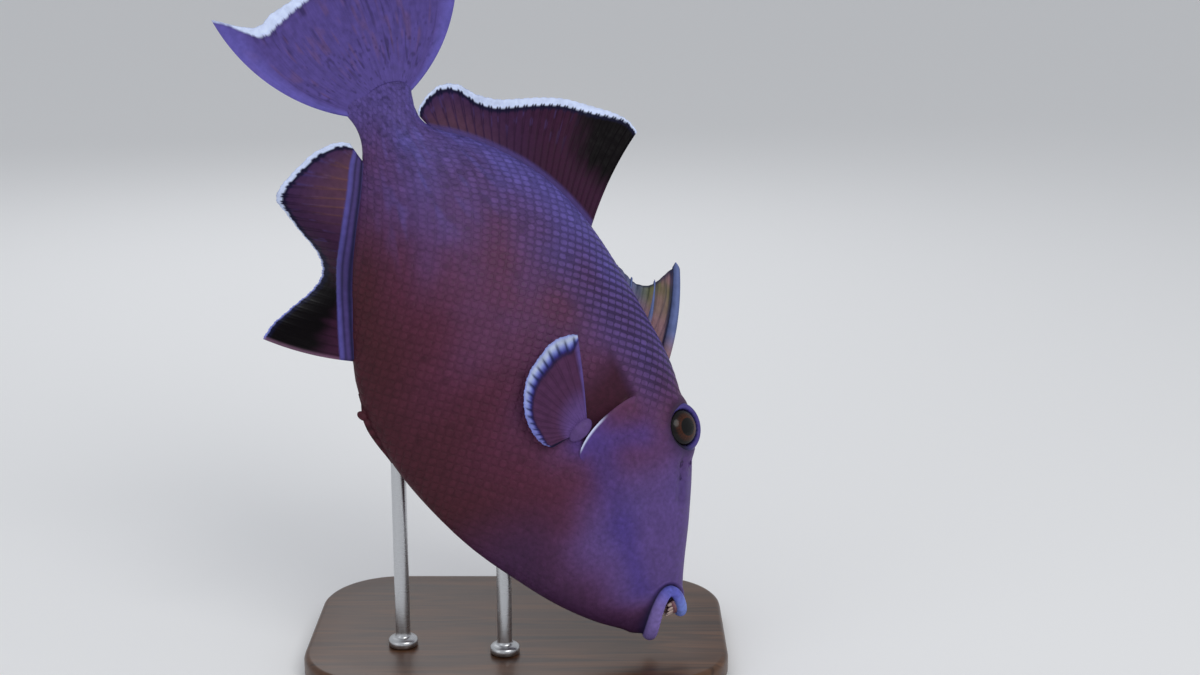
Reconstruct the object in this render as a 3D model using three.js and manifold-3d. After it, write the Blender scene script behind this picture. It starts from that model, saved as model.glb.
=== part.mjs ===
// A life-size display model of a blue triggerfish, head down over a plain stand. Millimetres.
// The fish is drawn in its own frame: X runs forwards with the snout at 0, so that a station s behind the snout is
// at X = -s, Y is the fish's left and Z is up its back. The whole fish is then turned into its pose over the stand,
// whose underside lies on Z = 0 with the origin at its middle.

import * as THREE from "three";
import { mergeVertices } from "three/addons/utils/BufferGeometryUtils.js";
import Module from "manifold-3d";

const wasm = await Module();
wasm.setup();

// Whole fish
const STANDARD_LENGTH = 330; // snout to the root of the tail fin
const GAP = 0.3; // between touching pieces
const NOSE_DOWN = 61; // degrees
const NOSE_TOWARDS_CAMERA = -15; // degrees about the vertical
const BACK_ROLLED_AWAY = -36; // degrees about the fish's own length
const SNOUT_PLACE = [80, -34, 28]; // of the snout tip over the stand

// Body outline: [station, height] along the back and the belly, half widths, and the height of the widest place
const BACK_LINE = [
  [0, 12], [10, 17], [22, 24.5], [45, 40], [70, 55.5], [92, 64], [120, 70.5], [150, 71.5], [182, 70.3], [208, 68],
  [230, 62.5], [250, 53.5], [270, 39.5], [283, 27], [291, 17.5], [298, 13], [306, 13], [317, 16.5], [330, 20],
];
const BELLY_LINE = [
  [0, -12], [20, -33], [45, -51], [75, -66.8], [110, -80], [142, -87], [172, -88], [192, -84.5], [208, -78],
  [235, -64], [262, -47], [285, -31], [300, -22.3], [310, -20], [320, -21.5], [330, -22.5],
];
const HALF_WIDTH = [
  [0, 6.5], [15, 10.8], [28, 16], [42, 20.5], [70, 26], [95, 29], [125, 31], [160, 32], [200, 28], [240, 21],
  [280, 12.5], [305, 8], [330, 4.2],
];
const WIDEST_HEIGHT = [[0, 0], [30, 8], [90, 25], [130, 16], [180, 4], [240, -1], [300, 0], [330, 1]];
const BACK_ROUNDNESS = [[0, 2.1], [60, 2.3], [100, 2.35], [160, 2.1], [330, 2]];
const BELLY_ROUNDNESS = [[0, 2.1], [60, 1.85], [150, 1.75], [330, 1.9]];
const BODY_SIDES = 36;
const HEAD_STEP = 8;
const TRUNK_STEP = 9;
const MOUTH_STATION = 3; // where the lofted body starts, inside the lips

// Where the body is parted
const GILL_LINE = { station: 106, height: 0, lean: 18.5 }; // the head's rear face, degrees from upright
const PEDUNCLE_STATION = 298;

// Gill opening behind the head's rear edge
const GILL_RECESS = { station: 127, height: 20, along: 18, across: 21, depth: 3.4 };
const GILL_FLAP = { length: 44, reach: 6, thickness: 1.1, middle: 17, fullest: 0.8 };

// Eyes and lids
const EYE = { station: 90, height: 53.5, side: 17.5, radius: 10.8, depth: 7, out: 0.5 };
const EYE_FACING = { forward: 0.12, side: 0.86, up: 0.42 };
const LID = { radius: 11.2, thickness: 2.1, out: 3.4 };

// Nostrils, in front of the eye
const NOSTRIL = { radius: 1.1, rim: 2, stations: [71, 75.5], height: 49.5 };

// Mouth: a ring of lips round an opening, with cutting teeth inside
const LIPS = {
  upperStation: 0.5, lowerStation: -1, upperHeight: 11, lowerHeight: -10, halfWidth: 11.4, corner: 15.5,
  cornerRise: 6.5, sweep: 1.7, upperThickness: 3.1, lowerThickness: 3.8, cornerThinner: 0.5,
};
const GAPE = { ahead: 1, height: 0.9, along: 13, across: 15, tall: 7.2, rise: 0.4 };
const THROAT = { depth: 21, halfWidth: 7, halfHeight: 7.5 };
const TEETH = {
  count: 8, width: 2.3, thickness: 1.6, arc: 78, along: 8.5, across: 6.4,
  upper: { front: -2.6, height: 8, rise: 0.5, length: 6.4 },
  lower: { front: -1.6, height: -6.6, rise: 4.6, length: 5 },
};

// Fins: rays are counted as in the species. Ray length, backward lean and backward bow are given along the base,
// 0 front to 1 rear.
const FIN_SINK = 4; // how far a root is drawn inside the body before it's cut to the skin
const SOFT_DORSAL = {
  rays: 26, front: 206, rear: 294, rows: 5,
  length: [
    [0, 60.6], [0.066, 61.3], [0.154, 58.4], [0.264, 53.1], [0.374, 47.2], [0.484, 39.5],
    [0.593, 31.4], [0.681, 25.9], [0.769, 24.4], [0.835, 27.4], [0.901, 25], [0.956, 17], [1, 8.4],
  ],
  lean: [
    [0, 34], [0.154, 38], [0.264, 42], [0.374, 47], [0.484, 52], [0.593, 59], [0.681, 67],
    [0.769, 73], [0.901, 80], [0.956, 90], [1, 108],
  ],
  bow: [[0, 2.4], [0.3, 1.5], [0.7, 0]],
  wave: [[0, 3], [0.3, 6], [0.6, -5], [0.8, -9], [1, -2]],
};
const ANAL = {
  rays: 23, front: 204, rear: 294, rows: 5,
  length: [
    [0, 47.3], [0.09, 40.9], [0.176, 32.1], [0.286, 20.2], [0.396, 13.8], [0.505, 15.6],
    [0.615, 27.1], [0.703, 36.8], [0.769, 42.1], [0.835, 41.7], [0.912, 32.1], [0.96, 21.8],
    [1, 10.5],
  ],
  lean: [
    [0, 43], [0.09, 44], [0.176, 46], [0.286, 54], [0.396, 59], [0.505, 50], [0.615, 41],
    [0.703, 37], [0.769, 32], [0.835, 30], [0.912, 38], [0.96, 56], [1, 80],
  ],
  bow: [[0, -1.9], [0.25, 0]],
  wave: [[0, 4], [0.15, 16], [0.32, 25], [0.5, 24], [0.68, 9], [0.85, -8], [1, -2]],
};
const RAY_RIDGE = 0.32; // how far a ray stands out of the membrane on each face
const MEMBRANE = { root: 1.5, edge: 0.3 }; // half thicknesses
const RAY_TIP = 0.9; // how far a ray's tip stands past the membrane's margin

// The tail fin's rays leave an oval arc round a hub. A ray's heading is given at its root and tip, on the outermost
// rays, and its length from the lowest ray, -1, to the highest, 1.
const TAIL_FIN = {
  hub: 311, hubHeight: 1, hubAlong: 13, hubAcross: 18, hubAngle: 75, rays: 24, rows: 5,
  top: { root: 70, tip: 6 }, bottom: { root: 58, tip: 3 },
  length: [
    [-1, 92], [-0.93, 79.5], [-0.85, 70.2], [-0.75, 65.9], [-0.65, 65.2], [-0.5, 62.7], [-0.3, 60.6], [0, 60.6],
    [0.3, 62.3], [0.5, 64.7], [0.65, 67.6], [0.75, 71.2], [0.85, 78.2], [0.93, 87.6], [1, 97],
  ],
  root: 3.6, edge: 0.32, bend: 9,
};

const SPINY_DORSAL = {
  front: 125.5, rear: 180, rows: 4, columns: 14,
  length: [[0, 50], [0.15, 39], [0.3, 27], [0.43, 18], [0.55, 12], [0.7, 6.5], [0.85, 4], [1, 2]],
  rootLean: 43, tipLean: 63, leanLength: 50, rearLean: 12,
  membrane: 0.45,
};
// Each spine: place along the fin's base, length, root radius and tip radius
const SPINES = [[0, 52, 3.2, 2], [0.36, 24.5, 1.5, 0.5], [0.74, 7.5, 1.1, 0.5]];

const PECTORAL = {
  station: 117, height: 2, rays: 14, rows: 4, padAlong: 5, padTall: 8.5, padOut: 3.6,
  top: 18, bottom: -90,
  length: [
    [0, 50.5], [0.06, 51.5], [0.15, 51], [0.24, 47.8], [0.34, 45], [0.43, 41.4], [0.53, 36.7], [0.62, 32.4],
    [0.72, 27.2], [0.81, 22.9], [0.91, 18], [1, 12.5],
  ],
  flareRight: [[0, 0.42], [0.5, 0.4], [1, 0.34]],
  flareLeft: [[0, 0.38], [0.5, 0.36], [1, 0.3]],
  root: 0.9, edge: 0.3,
};

const PELVIC = { front: 148, rear: 188, tall: 2.6, thick: 2.6, knob: 2.2 };

// Stand
const BASE = { length: 230, depth: 150, thick: 12, corner: 40, bevel: 2 };
const ROD_RADIUS = 4;
const ROD_SIDES = 14;
const COLLAR = { radius: 8, tall: 5 };
const FRONT_ROD = { x: -6, y: -38 };
const REAR_ROD = { x: -62, y: -28 };
const ROD_TOP = 175; // before the rod is cut to the belly

const radians = THREE.MathUtils.degToRad;

// A smooth curve through [x, y] points, straight beyond the ends.
function smoothThrough(points) {
  const slopes = points.map((p, i) => {
    const a = points[Math.max(i - 1, 0)];
    const b = points[Math.min(i + 1, points.length - 1)];
    return (b[1] - a[1]) / (b[0] - a[0]);
  });
  return (x) => {
    if (x <= points[0][0]) return points[0][1];
    const last = points.length - 1;
    if (x >= points[last][0]) return points[last][1];
    const i = points.findIndex((p) => p[0] > x) - 1;
    const [x0, y0] = points[i];
    const [x1, y1] = points[i + 1];
    const w = x1 - x0;
    const t = (x - x0) / w;
    const t2 = t * t;
    const t3 = t2 * t;
    return (
      y0 * (2 * t3 - 3 * t2 + 1) + y1 * (3 * t2 - 2 * t3) +
      w * (slopes[i] * (t3 - 2 * t2 + t) + slopes[i + 1] * (t3 - t2))
    );
  };
}

const backAt = smoothThrough(BACK_LINE);
const bellyAt = smoothThrough(BELLY_LINE);
const halfWidthAt = smoothThrough(HALF_WIDTH);
const widestAt = smoothThrough(WIDEST_HEIGHT);
const backRoundnessAt = smoothThrough(BACK_ROUNDNESS);
const bellyRoundnessAt = smoothThrough(BELLY_ROUNDNESS);

// A signed power, for the body's rounded sections.
const bulge = (x, power) => Math.sign(x) * Math.abs(x) ** power;

// The body's skin at a station and an angle round it: 0 is the back, a quarter turn the left flank. `grow` moves
// the skin outwards.
function skinPoint(station, angle, grow = 0) {
  const c = Math.cos(angle);
  const upper = c >= 0;
  const middle = widestAt(station);
  const reach = (upper ? backAt(station) - middle : middle - bellyAt(station)) + grow;
  const power = 2 / (upper ? backRoundnessAt(station) : bellyRoundnessAt(station));
  const width = halfWidthAt(station) + grow;
  return new THREE.Vector3(-station, width * bulge(Math.sin(angle), power), middle + reach * bulge(c, power));
}

// Half the body's width at a station and a height.
function widthAtHeight(station, height) {
  const middle = widestAt(station);
  const upper = height >= middle;
  const reach = upper ? backAt(station) - middle : middle - bellyAt(station);
  const roundness = upper ? backRoundnessAt(station) : bellyRoundnessAt(station);
  const share = Math.min(Math.abs(height - middle) / reach, 1);
  return halfWidthAt(station) * (1 - share ** roundness) ** (1 / roundness);
}

function geometryOf(positions, index) {
  return new THREE.BufferGeometry()
    .setAttribute("position", new THREE.BufferAttribute(new Float32Array(positions), 3))
    .setIndex(index);
}

// Turns a geometry's faces outwards.
function facingOut(geometry) {
  const p = geometry.attributes.position;
  const index = geometry.index.array;
  const [a, b, c] = [new THREE.Vector3(), new THREE.Vector3(), new THREE.Vector3()];
  let volume = 0;
  for (let i = 0; i < index.length; i += 3) {
    a.fromBufferAttribute(p, index[i]);
    b.fromBufferAttribute(p, index[i + 1]);
    c.fromBufferAttribute(p, index[i + 2]);
    volume += a.dot(b.cross(c));
  }
  if (volume < 0) {
    for (let i = 0; i < index.length; i += 3) [index[i + 1], index[i + 2]] = [index[i + 2], index[i + 1]];
  }
  return geometry;
}

// A geometry as a solid that can be joined and cut.
function solidOf(geometry) {
  const bare = new THREE.BufferGeometry().setAttribute("position", geometry.attributes.position);
  if (geometry.index) bare.setIndex(geometry.index);
  const merged = facingOut(mergeVertices(bare, 1e-4));
  return new wasm.Manifold(
    new wasm.Mesh({
      numProp: 3,
      vertProperties: new Float32Array(merged.attributes.position.array),
      triVerts: new Uint32Array(merged.index.array),
    }),
  );
}

// The largest closed surface of a solid, as a geometry.
function geometryFrom(solid) {
  const pieces = solid.decompose();
  const largest = pieces.reduce((a, b) => (b.volume() > a.volume() ? b : a));
  const mesh = largest.getMesh();
  const positions = new Float32Array(mesh.numVert * 3);
  for (let i = 0; i < mesh.numVert; i++) {
    positions.set(mesh.vertProperties.subarray(i * mesh.numProp, i * mesh.numProp + 3), i * 3);
  }
  return geometryOf(positions, Array.from(mesh.triVerts));
}

// A closed surface from rings of equally many points, capped at both ends.
function lofted(rings) {
  const sides = rings[0].length;
  const positions = rings.flat().flatMap((p) => [p.x, p.y, p.z]);
  const index = [];
  for (let i = 0; i + 1 < rings.length; i++) {
    for (let j = 0; j < sides; j++) {
      const k = (j + 1) % sides;
      const [a, b, c, d] = [i * sides + j, i * sides + k, (i + 1) * sides + j, (i + 1) * sides + k];
      index.push(a, b, c, b, d, c);
    }
  }
  for (const end of [0, rings.length - 1]) {
    const centre = rings[end].reduce((sum, p) => sum.add(p), new THREE.Vector3()).divideScalar(sides);
    const at = positions.length / 3;
    positions.push(centre.x, centre.y, centre.z);
    for (let j = 0; j < sides; j++) {
      const [a, b] = [end * sides + j, end * sides + ((j + 1) % sides)];
      index.push(...(end === 0 ? [at, b, a] : [at, a, b]));
    }
  }
  return facingOut(geometryOf(positions, index));
}

// A tube through points with a radius at each; closed on itself if asked. `reference` is a direction the tube never
// runs along.
function tube(points, radii, sides, reference, closed = false) {
  const count = points.length;
  const rings = points.map((p, i) => {
    const before = points[closed ? (i + count - 1) % count : Math.max(i - 1, 0)];
    const after = points[closed ? (i + 1) % count : Math.min(i + 1, count - 1)];
    const along = after.clone().sub(before).normalize();
    const a = reference.clone().cross(along).normalize();
    const b = along.clone().cross(a);
    return Array.from({ length: sides }, (_, j) => {
      const turn = (2 * Math.PI * j) / sides;
      return p.clone().addScaledVector(a, radii[i] * Math.cos(turn)).addScaledVector(b, radii[i] * Math.sin(turn));
    });
  });
  if (!closed) return lofted(rings);
  const positions = rings.flat().flatMap((p) => [p.x, p.y, p.z]);
  const index = [];
  for (let i = 0; i < count; i++) {
    for (let j = 0; j < sides; j++) {
      const [n, k] = [(i + 1) % count, (j + 1) % sides];
      index.push(i * sides + j, i * sides + k, n * sides + j, i * sides + k, n * sides + k, n * sides + j);
    }
  }
  return facingOut(geometryOf(positions, index));
}

// A thin curved plate: `surface` gives its middle at (u, v), `half` its half thickness. Both faces are split alike.
function plate(surface, half, columns, rows) {
  const step = 1e-3;
  const faces = [[], []];
  for (let i = 0; i <= columns; i++) {
    for (let j = 0; j <= rows; j++) {
      const [u, v] = [i / columns, j / rows];
      const du = surface(Math.min(u + step, 1), v).sub(surface(Math.max(u - step, 0), v));
      const dv = surface(u, Math.min(v + step, 1)).sub(surface(u, Math.max(v - step, 0)));
      const normal = du.cross(dv).normalize();
      const middle = surface(u, v);
      const t = half(u, v, i);
      faces[0].push(middle.clone().addScaledVector(normal, t));
      faces[1].push(middle.clone().addScaledVector(normal, -t));
    }
  }
  const count = faces[0].length;
  const at = (side, i, j) => side * count + i * (rows + 1) + j;
  const index = [];
  for (let i = 0; i < columns; i++) {
    for (let j = 0; j < rows; j++) {
      for (const side of [0, 1]) {
        const [a, b, c, d] = [at(side, i, j), at(side, i + 1, j), at(side, i, j + 1), at(side, i + 1, j + 1)];
        index.push(...(side === 0 ? [a, b, d, a, d, c] : [a, d, b, a, c, d]));
      }
    }
  }
  const wall = (a, b, c, d) => index.push(a, b, c, b, d, c);
  for (let i = 0; i < columns; i++) {
    wall(at(1, i, 0), at(1, i + 1, 0), at(0, i, 0), at(0, i + 1, 0));
    wall(at(0, i, rows), at(0, i + 1, rows), at(1, i, rows), at(1, i + 1, rows));
  }
  for (let j = 0; j < rows; j++) {
    wall(at(0, 0, j), at(0, 0, j + 1), at(1, 0, j), at(1, 0, j + 1));
    wall(at(1, columns, j), at(1, columns, j + 1), at(0, columns, j), at(0, columns, j + 1));
  }
  return facingOut(geometryOf(faces.flat().flatMap((p) => [p.x, p.y, p.z]), index));
}

const placed = (geometry, matrix) => geometry.applyMatrix4(matrix);

function bodyStations() {
  const stations = [];
  for (let s = MOUTH_STATION; s < GILL_LINE.station; s += HEAD_STEP) stations.push(s);
  for (let s = GILL_LINE.station; s < STANDARD_LENGTH - TRUNK_STEP / 2; s += TRUNK_STEP) stations.push(s);
  stations.push(STANDARD_LENGTH);
  return stations;
}

function bodySolid(grow = 0) {
  const rings = bodyStations().map((s) =>
    Array.from({ length: BODY_SIDES }, (_, j) => skinPoint(s, (2 * Math.PI * j) / BODY_SIDES, grow)),
  );
  return solidOf(lofted(rings));
}

// Everything on one side of the slanted plane along the gill opening, moved back by `shift`.
const HALF_SPACE = 400;
function beforeGill(shift) {
  const box = new THREE.BoxGeometry(HALF_SPACE, HALF_SPACE, 2 * HALF_SPACE).translate(HALF_SPACE / 2, 0, 0);
  return solidOf(
    box.rotateY(-radians(GILL_LINE.lean)).translate(-GILL_LINE.station - shift, 0, GILL_LINE.height),
  );
}

// Everything before an upright plane at a station.
function beforeStation(station) {
  return solidOf(
    new THREE.BoxGeometry(HALF_SPACE, HALF_SPACE, HALF_SPACE).translate(HALF_SPACE / 2 - station, 0, 0),
  );
}

const wholeBody = bodySolid();
const clearOfBody = bodySolid(GAP);

// A ball stretched to three half sizes, turned and placed.
function ellipsoid(along, across, tall, segments = 16) {
  return new THREE.SphereGeometry(1, segments, Math.round(segments * 0.7)).scale(along, across, tall);
}

function eyeFrame(side) {
  const out = new THREE.Vector3(EYE_FACING.forward, side * EYE_FACING.side, EYE_FACING.up).normalize();
  const turn = new THREE.Quaternion().setFromUnitVectors(new THREE.Vector3(0, 0, 1), out);
  const centre = new THREE.Vector3(-EYE.station, side * EYE.side, EYE.height);
  return { out, turn, centre };
}

function eyeBall(side, grow = 0) {
  const { turn, centre } = eyeFrame(side);
  const ball = new THREE.SphereGeometry(1, 18, 11).rotateX(Math.PI / 2);
  ball.scale(EYE.radius + grow, EYE.radius + grow, EYE.depth + grow).translate(0, 0, EYE.out);
  return placed(ball, new THREE.Matrix4().compose(centre, turn, new THREE.Vector3(1, 1, 1)));
}

// The ring of lid round an eye, with a fleshy cup behind it that carries it out of the head.
function lidSolid(side) {
  const { out, turn, centre } = eyeFrame(side);
  const profile = [
    [3, -9], [LID.radius + LID.thickness + 1.6, -9], [LID.radius + LID.thickness, LID.out - LID.thickness * 0.7],
    [LID.radius + 0.3, LID.out + 0.9], [LID.radius - 1.5, LID.out + 0.4], [3, LID.out - 1],
  ].map(([r, z]) => new THREE.Vector2(r, z));
  profile.push(profile[0].clone());
  const ring = new THREE.LatheGeometry(profile, 20).rotateX(Math.PI / 2).rotateY(Math.PI);
  ring.scale(1, 1, -1);
  return solidOf(placed(ring, new THREE.Matrix4().compose(centre, turn, new THREE.Vector3(1, 1, 1))));
}

// A nostril's raised rim and its pit, on one side.
function nostril(station, side) {
  const y = widthAtHeight(station, NOSTRIL.height);
  const place = new THREE.Vector3(-station, side * y, NOSTRIL.height);
  const out = new THREE.Vector3(0.25, side * 0.78, 0.55).normalize();
  const turn = new THREE.Quaternion().setFromUnitVectors(new THREE.Vector3(0, 1, 0), out);
  const at = new THREE.Matrix4().compose(place, turn, new THREE.Vector3(1, 1, 1));
  const rim = new THREE.CylinderGeometry(NOSTRIL.rim * 0.75, NOSTRIL.rim * 1.2, 3.4, 8).translate(0, -0.7, 0);
  const pit = new THREE.CylinderGeometry(NOSTRIL.radius, NOSTRIL.radius * 0.7, 4, 8).translate(0, 0.4, 0);
  return { rim: solidOf(placed(rim, at)), pit: solidOf(placed(pit, at)) };
}

// A point on the middle line of the lips: 0 is the upper lip, half a turn the lower.
function lipPoint(turn) {
  const middle = (LIPS.upperHeight + LIPS.lowerHeight) / 2;
  const reach = (LIPS.upperHeight - LIPS.lowerHeight) / 2;
  const front = LIPS.upperStation + (LIPS.lowerStation - LIPS.upperStation) * (0.5 - 0.5 * Math.cos(turn));
  const share = Math.abs(Math.sin(turn)) ** LIPS.sweep;
  const height = middle + reach * Math.cos(turn) + LIPS.cornerRise * share;
  return new THREE.Vector3(-front - (LIPS.corner - front) * share, LIPS.halfWidth * Math.sin(turn), height);
}

function lipsGeometry(grow = 0) {
  const steps = 26;
  const points = Array.from({ length: steps }, (_, i) => lipPoint((2 * Math.PI * i) / steps));
  const radii = points.map((_, i) => {
    const share = 0.5 - 0.5 * Math.cos((2 * Math.PI * i) / steps);
    const thinner = LIPS.cornerThinner * Math.sin((2 * Math.PI * i) / steps) ** 2;
    return LIPS.upperThickness + (LIPS.lowerThickness - LIPS.upperThickness) * share - thinner + grow;
  });
  return tube(points, radii, 8, new THREE.Vector3(1, 0, 0), true);
}

// The open mouth between the lips and the throat behind it.
function mouthOpening(grow = 0) {
  const gape = ellipsoid(GAPE.along + grow, GAPE.across + grow, GAPE.tall + grow, 16);
  const throat = ellipsoid(THROAT.depth + grow, THROAT.halfWidth + grow, THROAT.halfHeight + grow, 12);
  return solidOf(gape.rotateY(GAPE.rise).translate(GAPE.ahead, 0, GAPE.height)).add(
    solidOf(throat.rotateY(GAPE.rise / 2).translate(0, 0, GAPE.height)),
  );
}

// A gum with its row of cutting teeth, cut to the inside of the mouth.
function teethGeometry(upper) {
  const sign = upper ? 1 : -1;
  const row = upper ? TEETH.upper : TEETH.lower;
  const placeAt = (share) => {
    const turn = radians(TEETH.arc) * share;
    const back = 1 - Math.cos(turn);
    return new THREE.Vector3(row.front - TEETH.along * back, TEETH.across * Math.sin(turn), row.height + row.rise * back);
  };
  const arch = Array.from({ length: 9 }, (_, i) => placeAt(-1 + i / 4));
  let solid = solidOf(tube(arch, arch.map(() => 1.8), 6, new THREE.Vector3(0, 0, 1)));
  for (let i = 0; i < TEETH.count; i++) {
    const share = -1 + (2 * i + 1) / TEETH.count;
    const place = placeAt(share);
    const tall = row.length * (1 - 0.45 * Math.abs(share)) + 1;
    const tooth = new THREE.CylinderGeometry(0.45, 0.75, 1, 4).rotateY(Math.PI / 4);
    tooth.scale(TEETH.thickness, tall, TEETH.width).translate(0, tall / 2 - 1, 0);
    tooth.rotateX(-sign * Math.PI / 2).rotateZ(radians(TEETH.arc) * share * 0.9);
    solid = solid.add(solidOf(tooth.translate(place.x, place.y, place.z)));
  }
  return geometryFrom(solid.intersect(mouthOpening(-GAP)).subtract(solidOf(lipsGeometry(GAP))));
}

// The thin edge of the gill cover, standing over the recess behind it.
function gillFlap(side) {
  const lean = radians(GILL_LINE.lean);
  const along = new THREE.Vector3(-Math.sin(lean), 0, Math.cos(lean));
  const back = new THREE.Vector3(-Math.cos(lean), 0, -Math.sin(lean));
  const surface = (u, v) => {
    const place = new THREE.Vector3(-GILL_LINE.station, 0, GILL_LINE.height);
    place.addScaledVector(along, GILL_FLAP.middle + (u - 0.5) * GILL_FLAP.length);
    const reach = GILL_FLAP.reach * Math.sin(Math.PI * u ** GILL_FLAP.fullest) ** 0.7;
    place.addScaledVector(back, -4 + v * (4 + reach));
    place.y = side * (widthAtHeight(-place.x, place.z) + 0.2 + 1.1 * v * Math.sin(Math.PI * u));
    return place;
  };
  return solidOf(plate(surface, () => GILL_FLAP.thickness / 2, 12, 4));
}

function gillRecess(side) {
  const lean = radians(GILL_LINE.lean);
  const y = widthAtHeight(GILL_RECESS.station, GILL_RECESS.height);
  const dish = ellipsoid(GILL_RECESS.across, GILL_RECESS.depth, GILL_RECESS.along, 20);
  return solidOf(dish.rotateY(-lean).translate(-GILL_RECESS.station, side * y, GILL_RECESS.height));
}

function headGeometry() {
  let head = wholeBody.intersect(beforeGill(-GAP / 2));
  for (const side of [-1, 1]) {
    head = head.add(lidSolid(side)).subtract(solidOf(eyeBall(side, GAP)));
    for (const station of NOSTRIL.stations) {
      const { rim, pit } = nostril(station, side);
      head = head.add(rim).subtract(pit);
    }
    head = head.add(gillFlap(side));
  }
  return geometryFrom(head.subtract(mouthOpening()).subtract(solidOf(lipsGeometry(GAP))));
}

function trunkGeometry() {
  let trunk = wholeBody.subtract(beforeGill(GAP / 2)).intersect(beforeStation(PEDUNCLE_STATION - GAP / 2));
  for (const side of [-1, 1]) trunk = trunk.subtract(gillRecess(side)).subtract(gillFlapClearance(side));
  return geometryFrom(trunk);
}

// Room under and behind the gill cover's edge.
function gillFlapClearance(side) {
  const lean = radians(GILL_LINE.lean);
  const along = new THREE.Vector3(-Math.sin(lean), 0, Math.cos(lean));
  const back = new THREE.Vector3(-Math.cos(lean), 0, -Math.sin(lean));
  const surface = (u, v) => {
    const place = new THREE.Vector3(-GILL_LINE.station, 0, GILL_LINE.height);
    place.addScaledVector(along, GILL_FLAP.middle + (u - 0.5) * (GILL_FLAP.length + 1));
    const reach = GILL_FLAP.reach * Math.sin(Math.PI * u ** GILL_FLAP.fullest) ** 0.7 + 0.5;
    place.addScaledVector(back, -5 + v * (5 + reach));
    place.y = side * (widthAtHeight(-place.x, place.z) + 0.2 + 1.1 * v * Math.sin(Math.PI * u));
    return place;
  };
  return solidOf(plate(surface, () => GILL_FLAP.thickness / 2 + GAP, 12, 4));
}

function peduncleGeometry() {
  return geometryFrom(wholeBody.subtract(beforeStation(PEDUNCLE_STATION + GAP / 2)));
}

// A soft fin along the back or the belly. `sign` is 1 on the back and -1 on the belly.
function softFinGeometry(fin, lineAt, sign) {
  const lengthAt = smoothThrough(fin.length);
  const leanAt = smoothThrough(fin.lean);
  const bowAt = smoothThrough(fin.bow);
  const waveAt = smoothThrough(fin.wave);
  const columns = fin.rays * 2;
  const surface = (u, v) => {
    const station = fin.front + (fin.rear - fin.front) * u;
    const lean = radians(leanAt(u));
    const crest = Math.round(u * columns) % 2 === 1 ? RAY_TIP : 0;
    const along = -FIN_SINK + v * (lengthAt(u) + crest + FIN_SINK);
    const out = Math.max(along, 0) / lengthAt(u);
    const bow = 4 * bowAt(u) * out * Math.max(1 - out, 0);
    return new THREE.Vector3(
      -station - along * Math.sin(lean) - bow * Math.cos(lean),
      waveAt(u) * out ** 1.5,
      lineAt(station) + sign * (along * Math.cos(lean) - bow * Math.sin(lean)),
    );
  };
  const half = (u, v, i) => {
    const ray = i % 2 === 1 ? RAY_RIDGE * (1 - 0.55 * v) : 0;
    return MEMBRANE.edge + (MEMBRANE.root - MEMBRANE.edge) * (1 - v) ** 2.2 + ray;
  };
  return geometryFrom(solidOf(plate(surface, half, columns, fin.rows)).subtract(clearOfBody));
}

// How far a line runs along and across in a length of 1 when its heading turns evenly from one angle to another.
function turningLine(from, to, share) {
  const turn = (to - from) * share;
  if (Math.abs(turn) < 1e-4) return [share * Math.cos(from), share * Math.sin(from)];
  const scale = share / turn;
  return [scale * (Math.sin(from + turn) - Math.sin(from)), scale * (Math.cos(from) - Math.cos(from + turn))];
}

function tailFinGeometry() {
  const lengthAt = smoothThrough(TAIL_FIN.length);
  const columns = TAIL_FIN.rays * 2;
  const surface = (u, v) => {
    const spread = 2 * u - 1;
    const side = spread > 0 ? TAIL_FIN.top : TAIL_FIN.bottom;
    const start = radians(TAIL_FIN.hubAngle * spread);
    const [along, up] = turningLine(radians(side.root) * spread, radians(side.tip) * spread, v);
    const length = lengthAt(spread);
    return new THREE.Vector3(
      -TAIL_FIN.hub - TAIL_FIN.hubAlong * Math.cos(start) - length * along,
      -TAIL_FIN.bend * v ** 2,
      TAIL_FIN.hubHeight + TAIL_FIN.hubAcross * Math.sin(start) + length * up,
    );
  };
  const half = (u, v, i) => {
    const ray = i % 2 === 1 ? RAY_RIDGE * (1 - 0.5 * v) : 0;
    const sides = 1 - 0.75 * Math.abs(2 * u - 1) ** 3;
    return TAIL_FIN.edge + (TAIL_FIN.root - TAIL_FIN.edge) * sides * (1 - v) ** 3 + ray;
  };
  return geometryFrom(solidOf(plate(surface, half, columns, TAIL_FIN.rows)).subtract(clearOfBody));
}

// A point on the spiny fin: `u` along its base, `along` the distance from the skin. The spines bend backwards.
function spinyPoint(u, along) {
  const station = SPINY_DORSAL.front + (SPINY_DORSAL.rear - SPINY_DORSAL.front) * u;
  const root = radians(SPINY_DORSAL.rootLean + SPINY_DORSAL.rearLean * u);
  const tip = radians(SPINY_DORSAL.tipLean + SPINY_DORSAL.rearLean * u);
  const share = along / SPINY_DORSAL.leanLength;
  const [up, back] = turningLine(root, tip, share);
  return new THREE.Vector3(
    -station - SPINY_DORSAL.leanLength * back,
    0,
    backAt(station) + SPINY_DORSAL.leanLength * up,
  );
}

function spinyFinGeometry() {
  const lengthAt = smoothThrough(SPINY_DORSAL.length);
  const surface = (u, v) => spinyPoint(u, -FIN_SINK + v * (lengthAt(u) + FIN_SINK));
  let fin = solidOf(plate(surface, () => SPINY_DORSAL.membrane, SPINY_DORSAL.columns, SPINY_DORSAL.rows));
  for (const [u, length, root, tip] of SPINES) {
    const steps = 5;
    const shares = Array.from({ length: steps + 1 }, (_, i) => i / steps);
    const points = shares.map((t) => spinyPoint(u, -FIN_SINK + t * (length + FIN_SINK)));
    const radii = shares.map((t) => (root + (tip - root) * t ** 1.3) * (t === 1 ? 0.6 : 1));
    fin = fin.add(solidOf(tube(points, radii, 7, new THREE.Vector3(0, 1, 0))));
  }
  return geometryFrom(fin.subtract(clearOfBody));
}

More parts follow.
